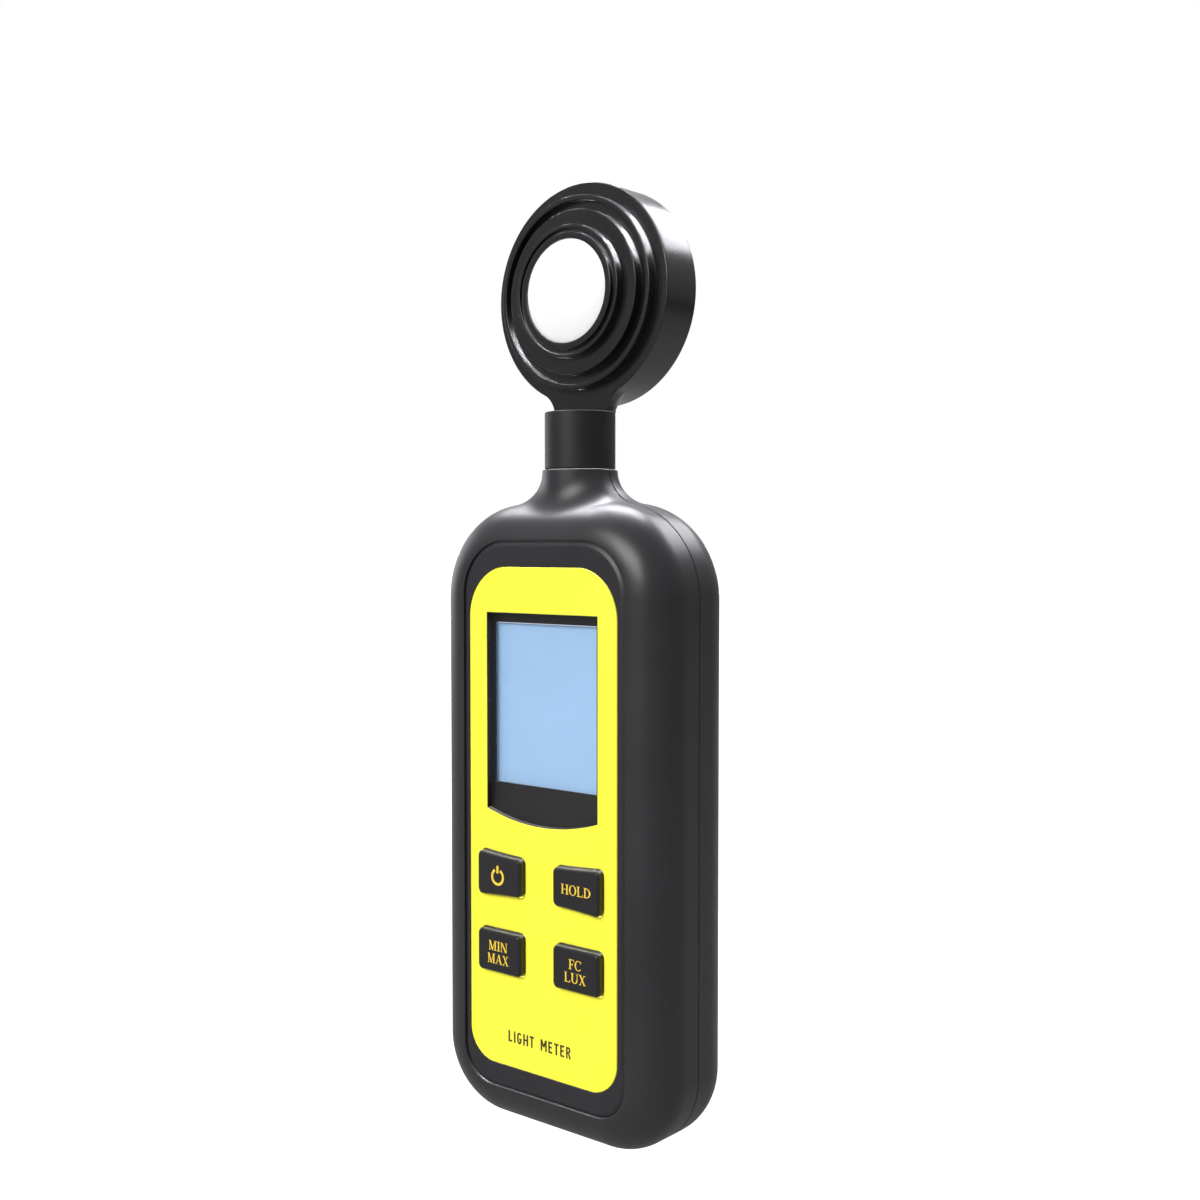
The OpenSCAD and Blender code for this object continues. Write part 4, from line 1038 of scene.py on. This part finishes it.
def serif_letters():
    """Width and strokes of each serif capital."""
    thin_left = bar(0.16, 0, 0.16, 1, 0.07) + foot(0.16, 0, 0.07) + bar(0.06, 0.975, 0.24, 0.975, 0.05)
    shifted = [[(x + 0.02, z) for x, z in quad] for quad in thin_left]
    return {
        "H": (0.92, stem(0.2) + stem(0.72) + bar(0.2, 0.5, 0.72, 0.5, THIN)),
        "O": (0.88, bowl(0.44, 0.5, 0.41, 0.52, 0.155, 0.05, 0, 360, 48)),
        "L": (0.74, stem(0.2) + bar(0.2, 0.03, 0.68, 0.03, THIN) + bar(0.66, 0, 0.69, 0.27, 0.05)),
        "D": (0.88, stem(0.2) + bowl(0.25, 0.5, 0.57, 0.5, 0.165, 0.06, -90, 90)
              + bar(0.12, 0.03, 0.26, 0.03, 0.06) + bar(0.12, 0.97, 0.26, 0.97, 0.06)),
        "M": (1.1, shifted + bar(0.22, 1, 0.53, 0, 0.16) + bar(0.53, 0.02, 0.84, 1, 0.065)
              + stem(0.88, 0.16)),
        "I": (0.4, stem(0.2)),
        "N": (0.94, thin_left + bar(0.2, 1, 0.74, 0, 0.16) + bar(0.78, 0, 0.78, 1, 0.07)
              + foot(0.78, 1, 0.07)),
        "A": (0.9, bar(0.13, 0, 0.45, 1, 0.07) + bar(0.73, 0, 0.45, 1, 0.17)
              + bar(0.22, 0.33, 0.66, 0.33, THIN) + foot(0.13, 0, 0.05) + foot(0.74, 0, 0.12)),
        "X": (0.88, bar(0.2, 1, 0.7, 0, 0.17) + bar(0.68, 1, 0.18, 0, 0.07) + foot(0.2, 1, 0.12)
              + foot(0.68, 1, 0.06) + foot(0.18, 0, 0.06) + foot(0.7, 0, 0.12)),
        "F": (0.7, stem(0.2) + bar(0.2, 0.97, 0.64, 0.97, 0.06) + bar(0.62, 0.76, 0.64, 1, 0.05)
              + bar(0.2, 0.51, 0.5, 0.51, THIN) + bar(0.5, 0.4, 0.5, 0.62, 0.045)),
        "C": (0.84, bowl(0.45, 0.5, 0.41, 0.52, 0.155, 0.055, 42, 322, 36)
              + bar(0.755, 0.7, 0.765, 1.0, 0.05)),
        "U": (0.92, bar(0.22, 0.32, 0.22, 1, 0.16) + foot(0.22, 1, 0.16)
              + bowl(0.475, 0.33, 0.335, 0.35, 0.13, 0.07, 180, 360)
              + bar(0.775, 0.32, 0.775, 1, 0.07) + foot(0.775, 1, 0.07)),
    }


def plain_letters():
    """Width and strokes of each capital of the even-stroked lettering."""
    pen = 0.165
    upright = lambda x, z0=0, z1=1: bar(x, z0, x, z1, pen)
    level = lambda x0, x1, z: bar(x0, z, x1, z, pen)
    low, high = pen / 2, 1 - pen / 2
    return {
        "L": (0.46, upright(0.1) + level(0.06, 0.42, low)),
        "I": (0.22, upright(0.11)),
        "G": (0.54, bowl(0.27, 0.78, 0.21, 0.22, pen, pen, 0, 180) + upright(0.1125, 0.22, 0.78)
              + bowl(0.27, 0.22, 0.21, 0.22, pen, pen, 180, 360) + upright(0.4275, 0.22, 0.5)
              + level(0.28, 0.48, 0.5 - low)),
        "H": (0.56, upright(0.1) + upright(0.46) + level(0.1, 0.46, 0.5)),
        "T": (0.5, upright(0.25) + level(0.02, 0.48, high)),
        "M": (0.68, upright(0.1) + upright(0.58) + bar(0.1, 1, 0.34, 0.36, pen)
              + bar(0.58, 1, 0.34, 0.36, pen)),
        "E": (0.48, upright(0.1) + level(0.06, 0.43, low) + level(0.06, 0.43, high)
              + level(0.06, 0.38, 0.52)),
        "R": (0.54, upright(0.1) + level(0.06, 0.27, high) + level(0.06, 0.27, 0.48)
              + bowl(0.26, 0.737, 0.21, 0.263, pen, pen, -90, 90) + bar(0.27, 0.46, 0.44, 0, pen)),
        " ": (0.42, []),
    }


def power_symbol():
    """A ring open at its top, with an upright bar in the opening."""
    ring = bowl(0, 0, 1.0, 1.0, 0.3, 0.3, 118, 422, 64)
    return ring + [[(-0.16, 0.42), (0.16, 0.42), (0.16, 1.28), (-0.16, 1.28)]]


def word_strokes(word, alphabet, gap=0.0):
    """Strokes of a word and its length, for letters one unit high."""
    strokes, x = [], 0.0
    for letter in word:
        width, quads = alphabet[letter]
        strokes += [[(px + x, pz) for px, pz in quad] for quad in quads]
        x += width + gap
    return strokes, x - gap


def printed(name, strokes, scale, origin, y, body, material):
    """A printed legend: overlapping strokes merged into one flat sheet and given a thickness."""
    points, polygons = [], []
    for quad in strokes:
        area = sum(quad[i - 1][0] * quad[i][1] - quad[i][0] * quad[i - 1][1] for i in range(len(quad)))
        polygons.append(list(range(len(points), len(points) + len(quad))))
        points += [Vector(p) for p in (quad[::-1] if area < 0 else quad)]
    found, _, triangles, _, _, owners = delaunay_2d_cdt(points, [], polygons, 1, 1e-5)
    kept = [list(t) for t, owner in zip(triangles, owners) if owner]
    used = sorted({i for t in kept for i in t})
    place = {i: k for k, i in enumerate(used)}
    flat = np.array([tuple(found[i]) for i in used]) * np.array(scale) + np.array(origin)
    kept = [[place[i] for i in t] for t in kept]
    count = len(flat)
    edges = {(t[k - 1], t[k]) for t in kept for k in range(3)}
    walls = [(a, b, b + count, a + count) for a, b in edges if (b, a) not in edges]
    faces = [tuple(t[::-1]) for t in kept] + [tuple(i + count for i in t) for t in kept] + sorted(walls)
    piece = solid(np.concatenate([at_depth(flat, y), at_depth(flat, y - INK_PROUD)]), faces)
    piece.name = name
    piece.data.name = name
    piece.data.materials.append(material)
    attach(piece, body)


def add_legends():
    ink_y = KEY_TOP + INK_LIFT
    printed("legend_power", power_symbol(), (1.48, 1.48), (-KEY_X - 0.15, 43.1), ink_y,
            "key_power", GOLD_INK_AND_PAINTED_GLOW)
    letters = serif_letters()
    # Name, word, body, middle, height of the baseline and length
    words = (
        ("legend_hold", "HOLD", "key_hold", KEY_X + 0.22, 42.55, 6.45),
        ("legend_min", "MIN", "key_min_max", -KEY_X - 0.1, 30.4, 4.45),
        ("legend_max", "MAX", "key_min_max", -KEY_X - 0.1, 28.2, 5.0),
        ("legend_fc", "FC", "key_units", KEY_X + 0.05, 30.4, 2.8),
        ("legend_lux", "LUX", "key_units", KEY_X + 0.05, 28.2, 4.7),
    )
    for name, word, body, middle, base, width in words:
        strokes, length = word_strokes(word, letters)
        printed(name, strokes, (width / length, CAP_HEIGHT), (middle - width / 2, base), ink_y,
                body, GOLD_INK_AND_PAINTED_GLOW)
    strokes, length = word_strokes("LIGHT METER", plain_letters(), 0.13)
    width = 14.1
    printed("panel_words", strokes, (width / length, 1.95), (-0.38 - width / 2, 14.93),
            LABEL_FRONT + INK_LIFT, "housing", BROWN_INK)


# ---------- Neck and head ----------

def add_neck():
    collar = STEM_LOW[2] + 1.6
    profile = softened([
        (2.0, STEM_LOW[2], 0.1), (5.6, STEM_LOW[2], 0.15), (5.6, collar, 0.15), (4.2, collar, 0.0),
        (4.2, NECK_Z0, 0.0), (NECK_R, NECK_Z0, 0.15), (NECK_R, NECK_Z1, 0.22), (2.0, NECK_Z1, 0.0)])
    piece = solid(*lathe_z(profile, 144))
    low, high = COLLAR_TOP - 5.55, COLLAR_TOP - 4.45
    cut(piece, lathe_z([(3.35, low), (5.0, low), (5.0, high), (3.35, high)]))
    # Lug that meets the stops in the collar block
    wedge = np.concatenate([arc(0, 0, 7.2, 78, 102, 8), [(-1.2, 5.0), (1.2, 5.0)]])
    add(piece, loft([np.column_stack([wedge, np.full(len(wedge), z)]) for z in (STEM_LOW[2], collar)]))
    # Socket for the head's tenon
    cut(piece, box((-2.6, 0.9, NECK_Z0 + 2.8), (2.6, 4.7, NECK_Z1 + 1)))
    finish_piece(piece, "swivel_neck", "sensor_head", NECK, ["swivel_stem"])


def stem_form():
    """The stem that widens from the neck up into the disc, cut back at the rear to the neck's round form."""
    fillet = 4.0
    cx = 5.9 + fillet
    cz = HEAD_Z - sqrt((HEAD_R + fillet) ** 2 - cx ** 2)
    side = arc(cx, cz, fillet, 180, degrees(atan2(HEAD_Z - cz, -cx)), 16)
    (foot_x, _), (top_x, top_z) = side[0], side[-1]
    inner = (top_x - 1.5, HEAD_Z - 12)
    right = chain(line((0, NECK_Z1), (foot_x, NECK_Z1), 4), side[:1], side,
                  line((top_x, top_z), inner, 2), line(inner, (0, inner[1]), 2))
    stations = [(0, HEAD_D), (0, 0.25), (0.08, 0.07), (0.175, 0.0)]
    outline = mirrored(right)
    piece = solid(*loft([at_depth(outline * (1 - g / 6.0, 1.0), y) for g, y in stations]), 0.001)
    reach = NECK_R + 0.05
    curve = [tuple(p) for p in arc(reach + fillet, NECK_Z1 - 0.4, fillet, 171, 95, 18)]
    neck = [(0, NECK_Z1 - 1), (reach, NECK_Z1 - 1), (reach, NECK_Z1 + 0.2), *curve,
            (18.0, curve[-1][1] + 0.05), (18.0, HEAD_Z), (0, HEAD_Z)]
    return combine(piece, lathe_z(neck, 144), "INTERSECT")


def add_head_shell():
    edge = 0.22
    profile = softened([
        (9.9, 1.0, 0.1), (11.06, 1.0, 0.0), (11.06, 2.32, 0.06), (13.75, 2.32, 0.12), (13.75, 0.55, 0.05),
        (15.35, 0.55, 0.05), (15.35, 1.85, 0.1), (16.15, 1.85, 0.12), (16.15, 0.0, 0.05),
        (HEAD_R, 0.0, edge), (HEAD_R, -HEAD_D, edge), (HEAD_INNER_R, -HEAD_D, 0.15),
        (HEAD_INNER_R, -HEAD_WALL, 0.3), (9.9, -HEAD_WALL, 0.1)], steps=4)
    piece = solid(*lathe_head(profile, 224))
    stem_piece = stem_form()
    cut(stem_piece, rod_y(0, HEAD_Z, HEAD_R - 0.9, -2, HEAD_D + 1, 160))
    add(piece, stem_piece, rods(HEAD_SCREWS, 2.2, HEAD_WALL - 0.1, 3.35))
    finish_piece(piece, "head_shell_smooth", "sensor_head", HEAD, ["head_shell"], sharp=38)


def add_head_cover():
    front, back = 6.3, HEAD_D
    groove = 0.22
    profile = softened([(0, -front), (COVER_HIGH[0], -front, 0.1), (COVER_HIGH[0], -back, 0.25),
                        (13.9, -back, 0.1), (13.6, -back + groove, 0.1), (13.2, -back + groove, 0.1),
                        (12.9, -back, 0.1), (0, -back)])
    piece = solid(*lathe_head(profile))
    add(piece, rods(HEAD_SCREWS, 2.2, 4.45, front + 0.1))
    cut(piece, rods(HEAD_SCREWS, 1.9, back - 1.3, back + 1, 48), rods(HEAD_SCREWS, 0.95, 4, back - 1))
    finish_piece(piece, "head_back_cover_turned", "sensor_head", HEAD, ["head_back_cover"])


def add_diffuser():
    ring = softened([
        (8.63, 3.1, 0.08), (8.63, 3.9, 0.1), (9.76, 3.9, 0.12), (9.76, 3.15, 0.05), (10.44, 3.15, 0.05),
        (10.44, 3.68, 0.08), (11.01, 3.68, 0.1), (11.01, 1.05, 0.05), (9.85, 1.05, 0.0),
        (9.85, -1.4, 0.05), (9.1, -1.4, 0.05), (9.1, 3.1, 0.0)], steps=4)
    piece = solid(*lathe_head(ring, 224))
    finish_piece(piece, "diffuser_ring_turned", "sensor_head", HEAD, ["diffuser_ring"], 38)
    edge_r, edge_h, wall = 8.55, 3.7, 1.1
    inner_edge = edge_r - 1.3
    rise = -DOME_LOW[1] - edge_h
    radius = (edge_r ** 2 + rise ** 2) / (2 * rise)
    centre = edge_h + rise - radius

    def cap(r, start, end, count):
        return [(r * sin(a), centre + r * cos(a)) for a in np.linspace(start, end, count)]
    inner = radius - wall
    profile = [*cap(radius, 0, asin(edge_r / radius), 20), (edge_r, 3.05), (9.0, 3.05), (9.0, 1.9),
               (inner_edge, 1.9), *cap(inner, asin(inner_edge / inner), 0, 16)]
    dome = solid(*lathe_head(profile, 160))
    finish_piece(dome, "diffuser_dome_opal", "sensor_head", OPAL, ["diffuser_dome"])


# ---------- Screws, insert and battery parts ----------

def cross_screw(name, spots, body, node, seat, head_r, head_h, shank_r, tip):
    """Pan-head screws with a cross recess and a coarse thread, pointing to the front."""
    top, root, pitch = seat + head_h, shank_r * 0.86, 0.6
    profile = [(0, top), (head_r * 0.45, top - 0.03), (head_r * 0.8, top - 0.16 * head_h),
               (head_r, top - 0.5 * head_h), (head_r, seat), (root, seat)]
    y = seat
    while y > tip + 1.1:
        profile += [(root, y - 0.25), (shank_r, y - 0.42), (root, y - pitch)]
        y -= pitch
    profile += [(root, tip + 0.6), (0, tip)]
    reach, half = head_r * 0.62, head_r * 0.1
    flat = np.array([(-reach, -half), (-half, -half), (-half, -reach), (half, -reach), (half, -half),
                     (reach, -half), (reach, half), (half, half), (half, reach), (-half, reach),
                     (-half, half), (-reach, half)])
    screws, slots = [], []
    for spot in spots:
        place = lambda r, a, h, x=spot[0], z=spot[1]: (x + r * cos(a), h, z + r * sin(a))
        screws.append(turned(profile, place, 40))
        slots.append(loft([at_depth(flat * 0.55 + spot, top - head_h * 0.62),
                           at_depth(flat + spot, top + 0.2)]))
    piece = solid(*joined(*screws), 0.001)
    cut(piece, joined(*slots))
    finish_piece(piece, name, body, STEEL, [node])


def add_screws():
    """Case, board and head screws: seat, head radius and height, shank radius and tip."""
    cross_screw("case_screws_cross", CASE_SCREWS, "housing", "case_screws", 6.05, 2.05, 1.6, 1.05, -5.4)
    cross_screw("board_screws_cross", BOARD_SCREWS, "housing", "board_screws", -2.75, 1.6, 1.0, 0.8, -6.6)
    cross_screw("head_screws_cross", HEAD_SCREWS, "sensor_head", "head_screws",
                HEAD_D - 1.25, 1.75, 1.0, 0.8, 0.4)


def add_insert():
    """Brass insert with a knurled outside and a real helical thread in its bore."""
    low, high = cad_box("tripod_insert")
    front, back = low[1], high[1]
    steps, pitch, minor, depth = 72, 1.27, 2.55, 0.55
    bore_end = back - 5.5
    rows = 40
    angles = np.linspace(0, 2 * pi, steps, endpoint=False)

    def ring(radius, y):
        return np.stack([radius * np.cos(angles), np.full(steps, y), INSERT_Z + radius * np.sin(angles)], 1)
    knurl = INSERT_R - 0.06 * (1 + np.cos(angles * 36))
    outside = [(4.3, front), (knurl, front + 0.3), (knurl, back - 0.9), (INSERT_R, back - 0.75),
               (INSERT_R, back - 0.12), (4.48, back), (3.35, back)]
    thread = []
    for y in np.linspace(back - 0.3, bore_end + 0.3, rows + 1):
        phase = (y / pitch + angles / (2 * pi)) % 1.0
        thread.append((minor + depth * (1 - np.abs(2 * phase - 1)), y))
    end = [(minor, bore_end + 0.1), (minor * 0.9, bore_end)]
    piece = solid(*loft([ring(*station) for station in outside + thread + end]))
    finish_piece(piece, "tripod_insert_threaded", "housing", BRASS, ["tripod_insert"], sharp=50)


CELL_PITCH = 10.6
CELL_Y = 3.55
SIDES = ("left", "middle", "right")


def turned_over(verts, side):
    """Points of a battery part; those of the middle cell are mirrored in height."""
    return verts if side else verts * (1, 1, -1) + (0, 0, BAY_Z0 + BAY_Z1)


def add_cells():
    """Three cells with a steel nub, an insulating ring and a wrapped can; the middle one is turned round."""
    start, r = 13.45, 5.15
    end = start + 43.0
    can = softened([(0, start), (3.6, start, 0.05), (4.3, start + 0.18, 0.1), (r, start + 0.1, 0.3),
                    (r, end, 0.45), (3.4, end, 0.15), (3.1, end - 0.3, 0.1), (1.95, end - 0.3, 0.1),
                    (1.9, end + 0.9, 0.35), (0, end + 0.9)])
    for side, where in zip((-1, 0, 1), SIDES):
        place = lambda radius, a, z, x=side * CELL_PITCH: (x + radius * cos(a), CELL_Y + radius * sin(a), z)
        verts, faces = turned(can, place, 72)
        piece = solid(turned_over(verts, side), faces)
        finish_piece(piece, "cell_" + where, "housing", CELL, ["battery_cells"])


def add_springs():
    """Conical wire springs at the cells' negative ends."""
    low, height, wire = 10.4, 2.6, 0.35
    turns, per_turn, around = 3.5, 40, 10
    section = np.linspace(0, 2 * pi, around, endpoint=False)
    rings = []
    for t in np.linspace(0, 1, int(turns * per_turn) + 1):
        a = 2 * pi * turns * t
        out = np.array([cos(a), sin(a), 0])
        centre = (3.3 - t) * out + (0, 0, low + wire + (height - 2 * wire) * t)
        rings.append(np.array([centre + wire * (out * cos(b) + np.array([0, 0, sin(b)])) for b in section]))
    verts, faces = loft(rings)
    for side, where in zip((-1, 0, 1), SIDES):
        piece = solid(turned_over(verts, side) + (side * CELL_PITCH, CELL_Y, 0), faces)
        finish_piece(piece, "spring_" + where, "housing", NICKEL, ["battery_springs"], 60)


CARRIED = {
    "light_guide": WHITE, "display_holder": WHITE, "zebra_strip": ZEBRA, "main_board": BOARD,
    "board_components": CHIP, "dome_switches": NICKEL, "keypad_membrane": SILICONE, "cable_header": WHITE,
    "battery_contacts": NICKEL, "friction_ring": RUBBER, "optical_filter": FILTER, "photodiode": CHIP,
    "sensor_board": BOARD, "sensor_cable": CABLE,
}


def dress_carried_nodes():
    """CAD nodes whose shape stays get their finish here."""
    for node, material in CARRIED.items():
        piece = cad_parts[node]
        piece.data.materials.clear()
        piece.data.materials.append(material)


# ---------- Studio ----------

FLOOR_SIZE = 40.0
FLOOR_FADE = (0.25, 1.6)
WORLD_STOPS = (0.48, 0.9)
WORLD_COLOURS = ((0.30, 0.295, 0.30, 1), (0.62, 0.62, 0.64, 1))


def add_floor():
    """Plain floor: white to the camera with a faint contact shadow, and a soft grey to everything else."""
    n = Nodes("studio_floor")
    matt = n.mix(n.spread(n.noise(0.05), 0.0, 1.0), (0.26, 0.26, 0.26), (0.28, 0.28, 0.28))
    reach = n.new("ShaderNodeVectorMath", operation="LENGTH")
    n.feed(reach.inputs[0], n.place)
    fade = n.spread(reach.outputs["Value"], 0.80, 1.0, *FLOOR_FADE)
    glow = n.put(n.new("ShaderNodeEmission"), Strength=fade)
    matt = n.put(n.new("ShaderNodeBsdfDiffuse"), Color=matt)
    bounce = n.put(n.new("ShaderNodeBsdfDiffuse"), Color=(0.22, 0.215, 0.21, 1.0))
    seen = n.blend("ShaderNodeAddShader", None, glow.outputs[0], matt.outputs[0])
    path = n.new("ShaderNodeLightPath")
    n.finish(n.blend("ShaderNodeMixShader", path.outputs["Is Camera Ray"], bounce.outputs[0], seen))
    mesh = bpy.data.meshes.new("studio_floor")
    corners = [(-1, -1), (1, -1), (1, 1), (-1, 1)]
    mesh.from_pydata([(x * FLOOR_SIZE, y * FLOOR_SIZE, 0) for x, y in corners], [], [(0, 1, 2, 3)])
    mesh.materials.append(n.material)
    floor = bpy.data.objects.new("studio_floor", mesh)
    bpy.context.scene.collection.objects.link(floor)


def add_world():
    """White to the camera; a softer studio gradient lights the object."""
    world = bpy.data.worlds.new("studio")
    bpy.context.scene.world = world
    n = Nodes("studio", world)
    place = n.new("ShaderNodeTexCoord").outputs["Generated"]
    height = n.put(n.new("ShaderNodeSeparateXYZ"), Vector=place).outputs["Z"]
    ramp = n.put(n.new("ShaderNodeValToRGB"), Fac=n.spread(height, 0.0, 1.0, -1.0, 1.0))
    for stop, position, colour in zip(ramp.color_ramp.elements, WORLD_STOPS, WORLD_COLOURS):
        stop.position = position
        stop.color = colour
    soft = n.put(n.new("ShaderNodeBackground"), Color=ramp.outputs["Color"])
    white = n.put(n.new("ShaderNodeBackground"), Color=(1, 1, 1, 1))
    path = n.new("ShaderNodeLightPath")
    n.finish(n.blend("ShaderNodeMixShader", path.outputs["Is Camera Ray"], soft.outputs[0], white.outputs[0]))


LAMP_TARGET = (0, 0, 0.09)


def softbox(name, place, size, watts, tint=(1, 1, 1), shadows=True):
    """An area lamp aimed at the object. Without shadows it also reaches walls that a neighbour would hide."""
    light = bpy.data.lights.new(name, "AREA")
    light.shape = "RECTANGLE"
    light.size, light.size_y = size
    light.energy = watts
    light.color = tint
    light.use_shadow = shadows
    light.cycles.use_multiple_importance_sampling = shadows
    lamp = bpy.data.objects.new(name, light)
    lamp.location = place
    lamp.rotation_euler = (Vector(LAMP_TARGET) - Vector(place)).to_track_quat("-Z", "Y").to_euler()
    lamp.visible_camera = False
    bpy.context.scene.collection.objects.link(lamp)


COOL = (0.955, 0.945, 1.0)


def add_lights():
    """A front fill, and soft lamps above and behind that show the rounded edges."""
    softbox("front_light", (-0.10, -1.25, 0.72), (0.9, 0.6), 16.0)
    softbox("back_light", (0.10, 0.80, 0.74), (0.60, 0.26), 4.5, COOL, False)
    softbox("left_back_light", (-0.36, 0.46, 1.00), (0.54, 0.42), 14.0, COOL, False)
    softbox("left_light", (-0.75, 0.20, 0.96), (0.36, 0.30), 6.5, COOL, False)
    softbox("low_back_light", (-0.80, 0.92, 0.16), (1.0, 0.30), 0.9, COOL, False)
    softbox("low_left_light", (-1.35, 0.15, 0.20), (0.9, 0.7), 3.4, COOL)


def add_camera():
    """The photograph's viewing angle."""
    data = bpy.data.cameras.new("camera")
    data.lens = 43.46
    data.sensor_width = 36.0
    data.clip_start = 0.01
    data.clip_end = 50.0
    camera = bpy.data.objects.new("camera", data)
    camera.location = (0.15984, -0.18786, 0.09972)
    camera.rotation_euler = (radians(90 - 2.27258), 0.0, radians(39.61))
    bpy.context.scene.collection.objects.link(camera)
    bpy.context.scene.camera = camera


def main():
    builders = (
        add_front_shell, add_rear_shell, add_battery_door, add_face_plate, add_label_panel, add_display_bezel,
        add_display, add_keys, add_legends, add_neck, add_head_shell, add_head_cover, add_diffuser,
        add_screws, add_insert, add_cells, add_springs, dress_carried_nodes, add_floor, add_world,
        add_lights, add_camera)
    for build in builders:
        build()
    bpy.context.scene.view_settings.view_transform = "Standard"


main()
